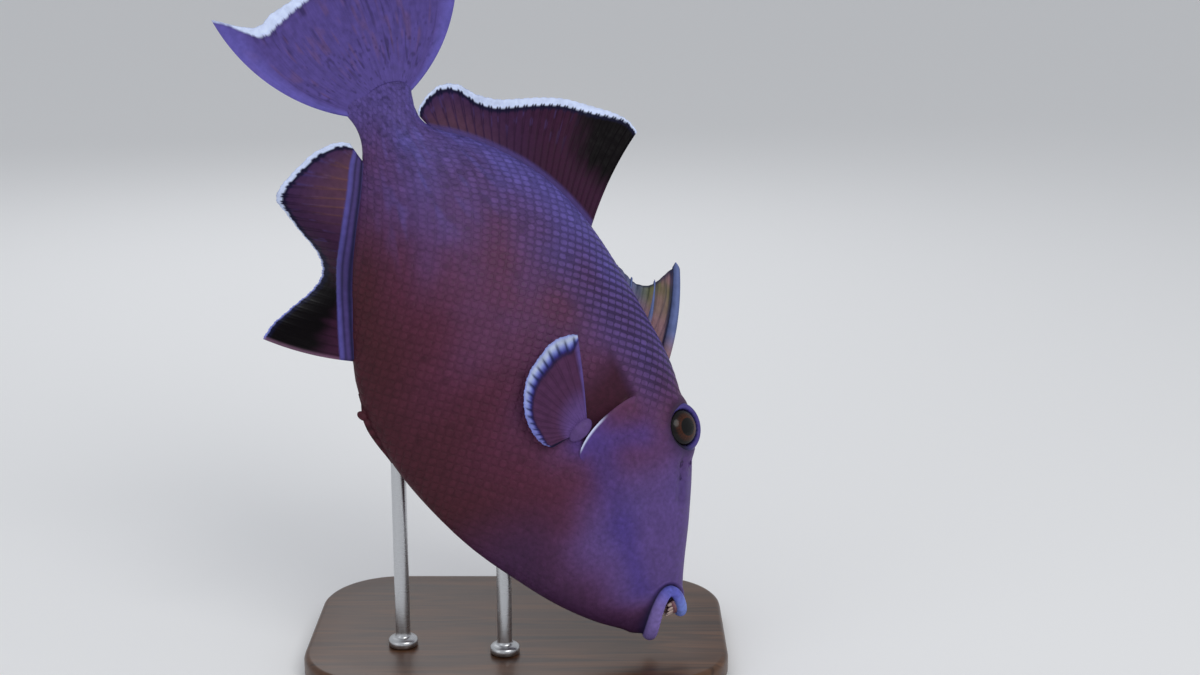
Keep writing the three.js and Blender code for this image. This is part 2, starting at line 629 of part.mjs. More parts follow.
function pectoralGeometry(side) {
  const lengthAt = smoothThrough(PECTORAL.length);
  const flareAt = smoothThrough(side < 0 ? PECTORAL.flareRight : PECTORAL.flareLeft);
  const y = widthAtHeight(PECTORAL.station, PECTORAL.height);
  const columns = PECTORAL.rays * 2;
  const surface = (u, v) => {
    const angle = radians(PECTORAL.top + (PECTORAL.bottom - PECTORAL.top) * u);
    const flare = flareAt(u);
    const crest = Math.round(u * columns) % 2 === 1 ? RAY_TIP : 0;
    const length = v * (lengthAt(u) + crest);
    const cup = 0.16 * length * v;
    return new THREE.Vector3(
      -PECTORAL.station - (2 + length * Math.sqrt(1 - flare * flare)) * Math.cos(angle),
      side * (y - 1 + length * flare - cup),
      PECTORAL.height + PECTORAL.padTall * 0.62 * (1 - 2 * u) + length * Math.sqrt(1 - flare * flare) * Math.sin(angle),
    );
  };
  const half = (u, v, i) => {
    const ray = i % 2 === 1 ? RAY_RIDGE * 0.8 * (1 - 0.5 * v) : 0;
    return PECTORAL.edge + (PECTORAL.root - PECTORAL.edge) * (1 - v) ** 2 + ray;
  };
  const pad = ellipsoid(PECTORAL.padAlong, PECTORAL.padOut, PECTORAL.padTall, 14);
  pad.rotateY(-0.25).translate(-PECTORAL.station - 0.5, side * y, PECTORAL.height);
  const fin = solidOf(plate(surface, half, columns, PECTORAL.rows)).add(solidOf(pad));
  return geometryFrom(fin.subtract(clearOfBody).subtract(beforeGill(0.4)).subtract(gillFlapClearance(side)));
}

// The low flap under the belly that ends in the blunt knob of the pelvis.
function pelvicGeometry() {
  const columns = 8;
  const surface = (u, v) => {
    const station = PELVIC.front + (PELVIC.rear - PELVIC.front) * u;
    const tall = PELVIC.tall * (Math.sin(Math.PI * Math.min(u * 1.15, 1) ** 1.4) * 0.9 + 0.12);
    const along = -FIN_SINK + v * (tall + FIN_SINK);
    return new THREE.Vector3(-station - along * 0.35, 0, bellyAt(station) - along);
  };
  const half = (u, v, i) => PELVIC.thick / 2 * (1 - 0.55 * v) + (i % 2 ? 0.3 : 0);
  const knobStation = PELVIC.front + (PELVIC.rear - PELVIC.front) * 0.72;
  const knob = ellipsoid(PELVIC.knob * 1.5, PELVIC.knob * 0.8, PELVIC.knob, 12);
  knob.rotateY(-0.5).translate(-knobStation, 0, bellyAt(knobStation) - PELVIC.tall * 0.6);
  const flap = solidOf(plate(surface, half, columns, 3)).add(solidOf(knob));
  return geometryFrom(flap.subtract(clearOfBody));
}

function standBaseGeometry() {
  const [x, y, r] = [BASE.length / 2 - BASE.bevel, BASE.depth / 2 - BASE.bevel, BASE.corner];
  const outline = new THREE.Shape();
  outline.moveTo(-x + r, -y).lineTo(x - r, -y).absarc(x - r, -y + r, r, -Math.PI / 2, 0, false);
  outline.lineTo(x, y - r).absarc(x - r, y - r, r, 0, Math.PI / 2, false);
  outline.lineTo(-x + r, y).absarc(-x + r, y - r, r, Math.PI / 2, Math.PI, false);
  outline.lineTo(-x, -y + r).absarc(-x + r, -y + r, r, Math.PI, 1.5 * Math.PI, false);
  return new THREE.ExtrudeGeometry(outline, {
    depth: BASE.thick - 2 * BASE.bevel, bevelEnabled: true, bevelThickness: BASE.bevel, bevelSize: BASE.bevel,
    bevelSegments: 2, curveSegments: 7,
  }).translate(0, 0, BASE.bevel);
}

// A rod with a collar at its foot, cut to the fish's belly at the top.
function standRodGeometry(rod, fishPose) {
  const bottom = BASE.thick + GAP;
  const shaft = new THREE.CylinderGeometry(ROD_RADIUS, ROD_RADIUS, ROD_TOP - bottom, ROD_SIDES);
  shaft.rotateX(Math.PI / 2).translate(rod.x, rod.y, (ROD_TOP + bottom) / 2);
  const collar = new THREE.CylinderGeometry(COLLAR.radius, COLLAR.radius, COLLAR.tall, ROD_SIDES);
  collar.rotateX(Math.PI / 2).translate(rod.x, rod.y, bottom + COLLAR.tall / 2);
  const clear = solidOf(placed(geometryFrom(clearOfBody), fishPose));
  const pieces = solidOf(shaft).add(solidOf(collar)).subtract(clear).decompose();
  return geometryFrom(pieces.find((piece) => piece.boundingBox().min[2] < bottom + 1));
}

const colours = {
  head: new THREE.MeshStandardMaterial({ color: 0x4a3468, roughness: 0.5, metalness: 0 }),
  trunk: new THREE.MeshStandardMaterial({ color: 0x4c2d52, roughness: 0.5, metalness: 0 }),
  tail: new THREE.MeshStandardMaterial({ color: 0x4d3f8c, roughness: 0.5, metalness: 0 }),
  lips: new THREE.MeshStandardMaterial({ color: 0x7468b8, roughness: 0.45, metalness: 0 }),
  teeth: new THREE.MeshStandardMaterial({ color: 0xb9a49a, roughness: 0.35, metalness: 0 }),
  eye: new THREE.MeshStandardMaterial({ color: 0x2a1810, roughness: 0.1, metalness: 0 }),
  fin: new THREE.MeshStandardMaterial({ color: 0x35182c, roughness: 0.5, metalness: 0 }),
  spinyFin: new THREE.MeshStandardMaterial({ color: 0x6f6a72, roughness: 0.55, metalness: 0 }),
  base: new THREE.MeshStandardMaterial({ color: 0x2b1d16, roughness: 0.4, metalness: 0 }),
  rod: new THREE.MeshStandardMaterial({ color: 0xb8bcc0, roughness: 0.25, metalness: 1 }),
};

function node(name, geometry, material) {
  const mesh = new THREE.Mesh(geometry, material);
  mesh.name = name;
  return mesh;
}

const fish = new THREE.Group();
fish.rotation.set(radians(BACK_ROLLED_AWAY), radians(NOSE_DOWN), radians(NOSE_TOWARDS_CAMERA), "ZYX");
fish.position.set(...SNOUT_PLACE);
fish.add(
  node("head", headGeometry(), colours.head),
  node("trunk", trunkGeometry(), colours.trunk),
  node("tail_peduncle", peduncleGeometry(), colours.tail),
  node("lips", lipsGeometry(), colours.lips),
  node("teeth_upper", teethGeometry(true), colours.teeth),
  node("teeth_lower", teethGeometry(false), colours.teeth),
  node("eye_right", eyeBall(-1), colours.eye),
  node("eye_left", eyeBall(1), colours.eye),
  node("spiny_dorsal_fin", spinyFinGeometry(), colours.spinyFin),
  node("soft_dorsal_fin", softFinGeometry(SOFT_DORSAL, backAt, 1), colours.fin),
  node("anal_fin", softFinGeometry(ANAL, bellyAt, -1), colours.fin),
  node("tail_fin", tailFinGeometry(), colours.tail),
  node("pectoral_fin_right", pectoralGeometry(-1), colours.fin),
  node("pectoral_fin_left", pectoralGeometry(1), colours.fin),
  node("pelvic_flap", pelvicGeometry(), colours.trunk),
);
fish.updateMatrixWorld(true);

const model = new THREE.Group();
model.add(
  fish,
  node("stand_base", standBaseGeometry(), colours.base),
  node("stand_rod_front", standRodGeometry(FRONT_ROD, fish.matrixWorld), colours.rod),
  node("stand_rod_rear", standRodGeometry(REAR_ROD, fish.matrixWorld), colours.rod),
);

export default model;
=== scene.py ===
# A life-size display model of a blue triggerfish, nose down over a plain stand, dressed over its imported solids.
# The fish is drawn in its own frame in millimetres, with X forwards from the snout, Y its left and Z up its back,
# from the same sizes and curves as the solids, and then turned into its pose in metres.

import math

import bpy
import numpy as np
from mathutils import Matrix, Vector


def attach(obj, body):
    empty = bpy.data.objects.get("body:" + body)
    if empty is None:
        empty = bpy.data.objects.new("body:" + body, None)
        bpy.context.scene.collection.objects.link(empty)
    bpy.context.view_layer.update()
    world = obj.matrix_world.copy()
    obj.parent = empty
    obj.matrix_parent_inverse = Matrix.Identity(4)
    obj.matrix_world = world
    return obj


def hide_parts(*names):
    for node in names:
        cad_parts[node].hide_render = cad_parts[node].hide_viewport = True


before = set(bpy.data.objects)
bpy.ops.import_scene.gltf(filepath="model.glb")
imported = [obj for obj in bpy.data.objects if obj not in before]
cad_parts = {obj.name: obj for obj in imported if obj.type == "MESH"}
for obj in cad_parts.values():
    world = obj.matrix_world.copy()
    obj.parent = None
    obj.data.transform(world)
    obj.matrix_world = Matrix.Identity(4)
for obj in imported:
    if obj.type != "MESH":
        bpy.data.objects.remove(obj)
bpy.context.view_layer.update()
rng = np.random.default_rng(11)

# Sizes shared with the solids

NOSE_DOWN, NOSE_TOWARDS_CAMERA, BACK_ROLLED_AWAY = 61.0, -15.0, -36.0
SNOUT_PLACE = np.array([80.0, -34.0, 28.0])
GILL_STATION, GILL_LEAN = 106.0, math.radians(18.5)
EYE = dict(station=90.0, height=53.5, side=17.5, radius=10.8, depth=7.0, out=0.5)
EYE_FACING = np.array([0.12, 0.86, 0.42])
FIN_SINK = 4.0  # how deep under the skin a fin starts
RAY_RIDGE = 0.32  # how far a ray stands out of its membrane
RAY_TIP = 0.4  # how far a ray's end reaches past the membrane
SKIN_START, SKIN_END = 28, 340  # the stations between which the skin follows the body's own sections

BACK_LINE = [(0, 12), (10, 17), (22, 24.5), (45, 40), (70, 55.5), (92, 64), (120, 70.5), (150, 71.5), (182, 70.3),
             (208, 68), (230, 62.5), (250, 53.5), (270, 39.5), (283, 27), (291, 17.5), (298, 13), (306, 13),
             (317, 16.5), (330, 20)]
BELLY_LINE = [(0, -12), (20, -33), (45, -51), (75, -66.8), (110, -80), (142, -87), (172, -88), (192, -84.5),
              (208, -78), (235, -64), (262, -47), (285, -31), (300, -22.3), (310, -20), (320, -21.5), (330, -22.5)]
HALF_WIDTH = [(0, 6.5), (15, 10.8), (28, 16), (42, 20.5), (70, 26), (95, 29), (125, 31), (160, 32), (200, 28),
              (240, 21), (280, 12.5), (305, 8), (330, 4.2)]
WIDEST_HEIGHT = [(0, 0), (30, 8), (90, 25), (130, 16), (180, 4), (240, -1), (300, 0), (330, 1)]
BACK_ROUNDNESS = [(0, 2.1), (60, 2.3), (100, 2.35), (160, 2.1), (330, 2)]
BELLY_ROUNDNESS = [(0, 2.1), (60, 1.85), (150, 1.75), (330, 1.9)]

LIPS = dict(upper_station=0.5, lower_station=-1.0, upper_height=11.0, lower_height=-10.0, half_width=11.4,
            corner=15.5, rise=6.5, sweep=1.7, upper=3.1, lower=3.8, thinner=0.5)


# Plain helpers


def smooth_through(points):
    """A smooth curve through (x, y) points, level beyond the ends."""
    p = np.array(points, float)
    x, y = p[:, 0], p[:, 1]
    before = np.maximum(np.arange(len(x)) - 1, 0)
    after = np.minimum(np.arange(len(x)) + 1, len(x) - 1)
    slope = (y[after] - y[before]) / (x[after] - x[before])

    def at(t):
        t = np.clip(np.asarray(t, float), x[0], x[-1])
        i = np.clip(np.searchsorted(x, t, side="right") - 1, 0, len(x) - 2)
        w = x[i + 1] - x[i]
        k = (t - x[i]) / w
        k2, k3 = k * k, k * k * k
        return (
            y[i] * (2 * k3 - 3 * k2 + 1)
            + y[i + 1] * (3 * k2 - 2 * k3)
            + w * (slope[i] * (k3 - 2 * k2 + k) + slope[i + 1] * (k3 - k2))
        )

    return at


def ease(low, high, x):
    """0 below low, 1 above high and smooth between; low may be the larger."""
    t = np.clip((np.asarray(x, float) - low) / (high - low), 0, 1)
    return t * t * (3 - 2 * t)


def mix(a, b, t):
    """Colours a and b mixed by shares t."""
    t = np.asarray(t, float)
    t = t[..., None] if t.ndim else t
    return a * (1 - t) + b * t


def layers(c, *coats):
    """Colour c with coats laid over it in turn, each a colour or its name and how much of it covers."""
    for colour, share in coats:
        c = mix(c, C[colour] if isinstance(colour, str) else colour, share)
    return c


def rgb(r, g, b, gain=1.0):
    """A colour given as 0 to 255 on a screen, as light."""
    c = np.array([r, g, b], float) / 255
    return np.where(c <= 0.04045, c / 12.92, ((c + 0.055) / 1.055) ** 2.4) * gain


def unit(v):
    return v / np.maximum(np.linalg.norm(v, axis=-1, keepdims=True), 1e-9)


def bump(x, middle, width):
    """A bell that is 1 at its middle and about a third at one width from it."""
    return np.exp(-(((x - middle) / width) ** 2))


def squared(x, power):
    """A cosine or sine raised so that a circle drawn with it becomes squarer."""
    return np.sign(x) * np.abs(x) ** power


def turns(n):
    """Angles evenly spaced once round."""
    return np.linspace(0, 2 * math.pi, n + 1)[:-1]


def sphere_angles(rows, columns):
    return np.meshgrid(np.linspace(0, math.pi, rows), turns(columns), indexing="ij")


def pitched(points, angle):
    """Points turned about the sideways axis."""
    c, n = math.cos(angle), math.sin(angle)
    x, y, z = points[..., 0], points[..., 1], points[..., 2]
    return np.stack([x * c + z * n, y, -x * n + z * c], -1)


WAVES = [(unit(rng.normal(size=3)), rng.uniform(0, 6.28), rng.uniform(0.6, 1.7)) for _ in range(14)]


def patches(points, size, seed=0):
    """Soft patches of about the given size in millimetres, from about -1 to 1."""
    total = 0
    for k, (direction, phase, rate) in enumerate(WAVES):
        turned = np.roll(direction, (k + seed) % 3) * (1 if (k + seed) % 2 else -1)
        total = total + np.sin(points @ turned * (3.1 * rate / size) + phase * (1 + seed))
    return total / 5.0


CELLS = rng.uniform(-1, 1, (64, 64))


def cells(x, y, seed=0):
    """Soft random cells one unit across, from -1 to 1."""
    x, y = np.asarray(x, float) + 7.3 * seed, np.asarray(y, float) + 3.9 * seed
    i, j = np.floor(x).astype(int), np.floor(y).astype(int)
    u, v = x - i, y - j
    u, v = u * u * (3 - 2 * u), v * v * (3 - 2 * v)

    def at(a, b):
        return CELLS[a % 64, b % 64]

    return (at(i, j) * (1 - u) + at(i + 1, j) * u) * (1 - v) + (at(i, j + 1) * (1 - u) + at(i + 1, j + 1) * u) * v


def rotation(roll, pitch, yaw):
    cr, sr, cp, sp, cy, sy = (f(a) for a in (roll, pitch, yaw) for f in (math.cos, math.sin))
    about_x = np.array([[1, 0, 0], [0, cr, -sr], [0, sr, cr]])
    about_y = np.array([[cp, 0, sp], [0, 1, 0], [-sp, 0, cp]])
    about_z = np.array([[cy, -sy, 0], [sy, cy, 0], [0, 0, 1]])
    return about_z @ about_y @ about_x


POSE = rotation(*(math.radians(a) for a in (BACK_ROLLED_AWAY, NOSE_DOWN, NOSE_TOWARDS_CAMERA)))


def posed(points):
    return (points @ POSE.T + SNOUT_PLACE) / 1000


def grid_faces(rows, columns, start=0, closed=False, flip=False):
    """Quads over a grid of rows by columns of points."""
    i, j = np.meshgrid(np.arange(rows - 1), np.arange(columns if closed else columns - 1), indexing="ij")
    k = (j + 1) % columns
    quads = np.stack([i * columns + j, i * columns + k, (i + 1) * columns + k, (i + 1) * columns + j], -1)
    quads = quads.reshape(-1, 4) + start
    return quads[:, ::-1] if flip else quads


def make(name, points, faces, material, tint=None, uv=None, in_fish=True, replaces=(), slot=None):
    """A mesh object from points and faces, coloured point by point, on the part's one body."""
    world = posed(points) if in_fish else np.asarray(points, float)
    mesh = bpy.data.meshes.new(name)
    lists = [f.tolist() for f in faces] if isinstance(faces, list) else [faces.tolist()]
    mesh.from_pydata(world.tolist(), [], [f for group in lists for f in group])
    mesh.validate()
    mesh.polygons.foreach_set("use_smooth", np.ones(len(mesh.polygons), bool))
    if tint is not None:
        colour = mesh.color_attributes.new("tint", "FLOAT_COLOR", "POINT")
        rgba = np.concatenate([np.clip(tint, 0, 1), np.ones((len(tint), 1))], 1)
        colour.data.foreach_set("color", rgba.astype(np.float32).ravel())
    if uv is not None:
        layer = mesh.uv_layers.new(name="OFBake")
        corner = np.zeros(len(mesh.loops), int)
        mesh.loops.foreach_get("vertex_index", corner)
        layer.data.foreach_set("uv", uv[corner].astype(np.float32).ravel())
    mesh.materials.append(material)
    o = bpy.data.objects.new(name, mesh)
    bpy.context.scene.collection.objects.link(o)
    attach(o, "root")
    if replaces:
        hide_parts(*replaces)


# Materials


def set_inputs(node, values):
    for key, value in values.items():
        node.inputs[key].default_value = value


def principled(name, values):
    """A material with the given shader values, its shader and its object coordinates."""
    m = bpy.data.materials.new(name)
    m.use_nodes = True
    shader = m.node_tree.nodes["Principled BSDF"]
    set_inputs(shader, values)
    return m, shader, m.node_tree.nodes.new("ShaderNodeTexCoord").outputs["Object"]


def chain(m, kind, source, entry, values, into=None):
    """The output of a new node that source feeds at its entry, linked on into a socket if one is given."""
    node = m.node_tree.nodes.new("ShaderNode" + kind)
    set_inputs(node, values)
    m.node_tree.links.new(source, node.inputs[entry])
    if into:
        m.node_tree.links.new(node.outputs[0], into)
    return node.outputs[0]


def painted(name, roughness, mottle, mottle_size, grain=0.0, grain_size=900.0, coat=0.0, coat_roughness=0.15,
            specular=0.5):
    """A surface coloured by its tint, with mottling, varied gloss and a fine grain."""
    m, shader, place = principled(name, {"Coat Weight": coat, "Coat Roughness": coat_roughness,
                                         "Specular IOR Level": specular})
    nodes, links = m.node_tree.nodes, m.node_tree.links
    noise = chain(m, "TexNoise", place, "Vector", {"Scale": mottle_size, "Detail": 6})
    shade = chain(m, "MapRange", noise, "Value",
                  {"From Min": 0.3, "From Max": 0.7, "To Min": 1 - mottle, "To Max": 1 + mottle})
    tint = nodes.new("ShaderNodeAttribute")
    tint.attribute_name = "tint"
    scale = nodes.new("ShaderNodeVectorMath")
    scale.operation = "SCALE"
    links.new(tint.outputs["Color"], scale.inputs[0])
    links.new(shade, scale.inputs["Scale"])
    links.new(scale.outputs[0], shader.inputs["Base Color"])
    chain(m, "MapRange", noise, "Value",
          {"From Min": 0.35, "From Max": 0.65, "To Min": roughness[0], "To Max": roughness[1]},
          shader.inputs["Roughness"])
    if grain:
        fine = chain(m, "TexNoise", place, "Vector", {"Scale": grain_size, "Detail": 4})
        chain(m, "Bump", fine, "Height", {"Strength": grain, "Distance": 0.0004}, shader.inputs["Normal"])
    return m


SKIN = painted("fish_skin", (0.42, 0.58), 0.16, 420, grain=0.3, grain_size=1400, specular=0.13)
SCALE = painted("fish_scale", (0.4, 0.58), 0.16, 420, grain=0.2, grain_size=1600, specular=0.13)
MEMBRANE = painted("fin_membrane", (0.4, 0.56), 0.12, 300, grain=0.2, grain_size=1200, specular=0.06)
SPINE = painted("fin_spine", (0.42, 0.6), 0.15, 240, grain=0.5, grain_size=700, specular=0.14)
ENAMEL = painted("tooth_enamel", (0.16, 0.3), 0.06, 500, grain=0.05, coat=0.4)
EYE_BALL = painted("eye_ball", (0.24, 0.3), 0.12, 900, coat=0.25, coat_roughness=0.12, specular=0.1)
LID = painted("eye_lid", (0.34, 0.46), 0.1, 300, grain=0.3, grain_size=1000, specular=0.18)

# Colours, as seen in the photograph's blue light

GAIN = 1.25  # lifts them to what the lights make of them
# Some of these are painted light and shade: the cheek's blue is a painted sheen, the gill edge's white a painted
# highlight, the lid's dark colour painted shade round the eyes, under the lids and in the nostrils, the fold colour
# painted shade in the lip crease, the recess colour partly the skin's own tone and partly painted shade, and the fin
# line both a real dark line and painted shade.
C = {
    name: rgb(*value, gain=GAIN)
    for name, value in {
        "maroon": (82, 46, 75), "low": (73, 33, 52), "belly": (61, 26, 35), "throat": (57, 32, 60),
        "violet": (80, 67, 127), "blue": (85, 79, 150), "cheek_sheen": (62, 48, 109),
        "dark": (38, 30, 66), "recess": (54, 21, 34), "tail": (77, 65, 126), "fin": (51, 24, 45),
        "fin_rear": (58, 37, 72), "fin_black": (5, 3, 5), "fin_line_and_shade": (14, 15, 40), "margin": (196, 208, 238),
        "margin_blue": (120, 130, 206), "deep_blue": (46, 44, 116), "orange": (112, 74, 66), "pink": (150, 112, 140),
        "lip": (82, 84, 162), "lip_pale": (106, 122, 190), "lilac": (110, 94, 152), "lining": (156, 126, 132),
        "teal": (70, 104, 150), "fold": (26, 20, 50), "tooth": (178, 156, 148), "gum": (128, 88, 96),
        "spine": (86, 98, 142), "spine_dark": (30, 36, 62), "olive": (92, 94, 58), "spine_pink": (128, 98, 104),
        "pectoral": (70, 41, 70), "pectoral_base": (90, 68, 124), "lid": (54, 46, 112), "shade_dark": (20, 15, 36),
        "gill_edge": (200, 206, 236),
    }.items()
}

# The body's own form

back_at, belly_at = smooth_through(BACK_LINE), smooth_through(BELLY_LINE)
half_width_at, widest_at = smooth_through(HALF_WIDTH), smooth_through(WIDEST_HEIGHT)
back_round_at, belly_round_at = smooth_through(BACK_ROUNDNESS), smooth_through(BELLY_ROUNDNESS)


def half_section(s, upper):
    """The height where the body is widest, and how far its upper or lower half reaches and how round it is."""
    middle = widest_at(s)
    return (middle, np.where(upper, back_at(s) - middle, middle - belly_at(s)),
            np.where(upper, back_round_at(s), belly_round_at(s)))


def width_at_height(s, h):
    middle, reach, power = half_section(s, h >= widest_at(s))
    return half_width_at(s) * (1 - np.clip(np.abs(h - middle) / reach, 0, 1) ** power) ** (1 / power)


def section(s, phi):
    """The plain body at a station and an angle round it, 0 the back and a quarter turn the left flank."""
    c, n = np.cos(phi), np.sin(phi)
    middle, reach, roundness = half_section(s, c >= 0)
    power = 2 / roundness
    close = 1 - ease(329, 339, s)
    y = half_width_at(s) * np.sign(n) * np.abs(n) ** power * (0.1 + 0.9 * (1 - ease(311, 340, s)))
    z = middle + reach * np.sign(c) * np.abs(c) ** power * (0.8 + 0.2 * close)
    return np.stack([-s, y, z], -1)


def section_normal(s, phi):
    along = section(s - 0.6, phi) - section(s + 0.6, phi)
    across = section(s, phi + 0.012) - section(s, phi - 0.012)
    return unit(np.cross(along, across))


def eye_axes(side):
    out = unit(EYE_FACING * np.array([1, side, 1]))
    centre = np.array([-EYE["station"], side * EYE["side"], EYE["height"]])
    return centre, out


def eye_distance(p, side):
    """How far points lie from an eye's own axis, and how far along that axis from its centre."""
    centre, out = eye_axes(side)
    q = p - centre
    depth = q @ out
    return np.linalg.norm(q - depth[..., None] * out, axis=-1), depth


def gill_place(p):
    """How far a point is behind the gill opening's line, and how far along it, 0 its middle and 1 either end."""
    s, h = -p[..., 0], p[..., 2]
    behind = (s - GILL_STATION - h * math.tan(GILL_LEAN)) * math.cos(GILL_LEAN)
    return behind, np.abs(h - 19) / 19


NOSTRIL_GROOVE = (76, 46), (56, 34.5)  # before the eye, as (station, height) places


def segment_distance(p, a, b):
    """How far points are, seen from the side, from a segment between two (station, height) places."""
    q = np.stack([-p[..., 0], p[..., 2]], -1)
    a, b = np.array(a, float), np.array(b, float)
    t = np.clip(((q - a) @ (b - a)) / ((b - a) @ (b - a)), 0, 1)
    return np.linalg.norm(q - (a + t[..., None] * (b - a)), axis=-1)


def relief(p):
    """How far the skin stands out of the plain body."""
    s, y, h = -p[..., 0], p[..., 1], p[..., 2]
    d = 0.3 * patches(p, 26, 1) * ease(20, 60, s)
    behind, end = gill_place(p)
    opening = 1 - ease(0.8, 1.08, end)
    swell = bump(behind, -5, 7.5) * (1 - ease(0.6, 1.3, end))
    d = d + 1.0 * swell * (behind < 1.2)
    d = d - 3.5 * opening * ease(-0.6, 1.2, behind) * (1 - ease(3, 30, behind))
    for side in (-1, 1):
        rho, depth = eye_distance(p, side)
        near = (depth > -14) & (np.sign(y + 1e-9) == side)
        d = d + near * (2.4 * bump(rho, 14.0, 4.2) - 3.0 * (1 - ease(7.5, 11.5, rho)))
    groove = segment_distance(p, *NOSTRIL_GROOVE)
    d = d - 1.3 * bump(groove, 0, 2.0) * (np.abs(y) > 5)
    d = d - 2.0 * bump(y, 0, 2.4) * ease(166, 176, s) * (1 - ease(198, 208, s)) * (h > 30)
    for k in range(4):
        line = segment_distance(p, (30 + 3 * k, 1 - 8 * k), (84 + 4 * k, 8 - 17 * k))
        d = d - 0.16 * bump(line, 0, 1.3) * (np.abs(y) > 6)
    return d * ease(14, 34, s) * (1 - ease(300, 322, s))


def body(s, phi):
    """The skin with its relief."""
    p = section(s, phi)
    return p + section_normal(s, phi) * relief(p)[..., None]


# A table of how far each angle lies round the body, to place rows and scales evenly

STATIONS = np.arange(0, SKIN_END + 1.0, 1.0)
ANGLES = np.linspace(0, math.pi, 721)
table_points = section(*np.meshgrid(STATIONS, ANGLES, indexing="ij"))
steps = np.linalg.norm(np.diff(table_points[..., 1:], axis=1), axis=-1)
ARC = np.concatenate([np.zeros((len(STATIONS), 1)), np.cumsum(steps, 1)], 1)
# A height along the skin below the back, drawn in a little where the body is slender, as the scale rows are
DOWN = ARC * (1 - 0.35 * (ARC[:, -1:] - 165) / ARC[:, -1:])
GIRTH_LOW, GIRTH_STEP = -210.0, 0.5
GIRTHS = np.arange(GIRTH_LOW, 0.4, GIRTH_STEP)
ANGLE_AT = np.array([np.interp(-GIRTHS, row, ANGLES) for row in DOWN])
LOW_GIRTH = -DOWN[:, -1]


def angle_at(s, girth):
    """The angle round the body of a place given by its height along the skin."""
    i = np.clip(s, 0, len(STATIONS) - 1.001)
    j = np.clip((girth - GIRTH_LOW) / GIRTH_STEP, 0, len(GIRTHS) - 1.001)
    i0, j0 = i.astype(int), j.astype(int)
    fi, fj = i - i0, j - j0
    return (
        ANGLE_AT[i0, j0] * (1 - fi) * (1 - fj)
        + ANGLE_AT[i0 + 1, j0] * fi * (1 - fj)
        + ANGLE_AT[i0, j0 + 1] * (1 - fi) * fj
        + ANGLE_AT[i0 + 1, j0 + 1] * fi * fj
    )


# The body's colours

ROW_PITCH = 4.3
ROW_SLANT = math.sqrt(0.5)


def nape_share(p):
    """Where dark ripple lines run along the rows, on the nape."""
    s, h = -p[..., 0], p[..., 2]
    along = ease(94, 118, s) * (1 - ease(165, 240, s))
    return along * ease(0.22, 0.7, (h - widest_at(s)) / (back_at(s) - widest_at(s)))


def dot_share(p):
    """Where dark dots stand between the scales, along the back."""
    s, h = -p[..., 0], p[..., 2]
    share = ease(0.0, 0.55, (h - widest_at(s)) / (back_at(s) - widest_at(s)))
    return np.maximum(share * ease(130, 190, s), 0.7 * ease(255, 290, s)) * (1 - nape_share(p))


def body_tint(p, gill=1.0):
    s, h = -p[..., 0], p[..., 2]
    middle = widest_at(s)
    r = np.where(h > middle, (h - middle) / (back_at(s) - middle), (h - middle) / (middle - belly_at(s)))
    r = np.clip(r + 0.09 * patches(p, 30, 2), -1, 1)
    blue = 0.8 * ease(0.05, 0.85, r) * ease(90, 140, s)
    blue = np.maximum(blue, 0.9 * ease(205, 292, s) * (0.55 + 0.45 * ease(-1, -0.1, r)))
    blue = np.maximum(blue, 0.72 * (1 - ease(62, 104, s)) * ease(-0.95, -0.25, r))
    blue = np.clip(blue + 0.1 * patches(p, 11, 3) * ease(40, 90, s), 0, 1)
    c = layers(
        mix(C["maroon"], C["violet"], blue),
        ("blue", ease(0.6, 1.0, r) * ease(110, 200, s) * 0.7),
        ("low", ease(-0.15, -0.6, r) * (1 - 0.8 * ease(215, 285, s)) * ease(50, 100, s)),
        ("belly", ease(-0.5, -0.95, r) * (1 - ease(225, 290, s)) * ease(60, 110, s)),
        ("throat", ease(-0.45, -0.9, r) * (1 - ease(70, 115, s))),
        # Painted sheen: light blue streaks where light glances off the cheek, along the gill opening and before the
        # mouth.
        ("cheek_sheen", 0.6 * bump(segment_distance(p, (60, -1), (104, 6)), 0, 10)),
        (C["cheek_sheen"] * 1.25, 0.6 * bump(segment_distance(p, (112, -2), (99, 30)), 0, 8)),
        (C["cheek_sheen"] * 1.18, 0.75 * bump(segment_distance(p, (26, -6), (62, -1)), 0, 6.5)),
    )
    fan = np.arctan2(h - 2, np.maximum(345 - s, 4))
    spread = ease(222, 275, s) * (1 - ease(290, 318, s)) * ease(-0.9, -0.2, r)
    c = mix(c, C["blue"], 0.4 * ease(0.0, 0.7, cells(fan * 30, s / 11, 6)) * spread)
    c = c * (1 - 0.2 * ease(0.0, 0.7, cells(fan * 40, s / 8, 7)) * spread)[..., None]
    c = mix(c, C["tail"], 0.85 * ease(292, 320, s))
    c = mix(c, C["dark"], 0.5 * ease(0.4, 0.75, cells(s * 0.5, h * 0.5, 8)) * ease(262, 292, s))
    # Behind the gill opening the skin is painted dark maroon: partly its own darker tone, partly painted shade in the
    # hollow. gill=0 leaves it out.
    behind, end = gill_place(p)
    recess = (1 - ease(0.75, 1.15, end)) * ease(-1, 1, behind) * (1 - ease(14, 34, behind))
    c = mix(c, C["recess"], 0.9 * gill * recess)
    # Painted shade in the sunken ring round each eye.
    for side in (-1, 1):
        rho, depth = eye_distance(p, side)
        near = (np.abs(depth) < 16) & (np.sign(p[..., 1] + 1e-9) == side)
        c = mix(c, C["shade_dark"] * 1.5, near * 0.6 * (1 - ease(12, 18, rho)))
    # Painted shade along the groove before the eye.
    c = mix(c, C["shade_dark"] * 1.3, 0.2 * bump(segment_distance(p, *NOSTRIL_GROOVE), 0, 3.2))
    return c * (1 + 0.05 * patches(p, 5, 4) + 0.05 * cells(s * 0.7, h * 0.7, 9))[..., None]


# Skin: throat, lining, lips, head, trunk and tail stalk in one surface


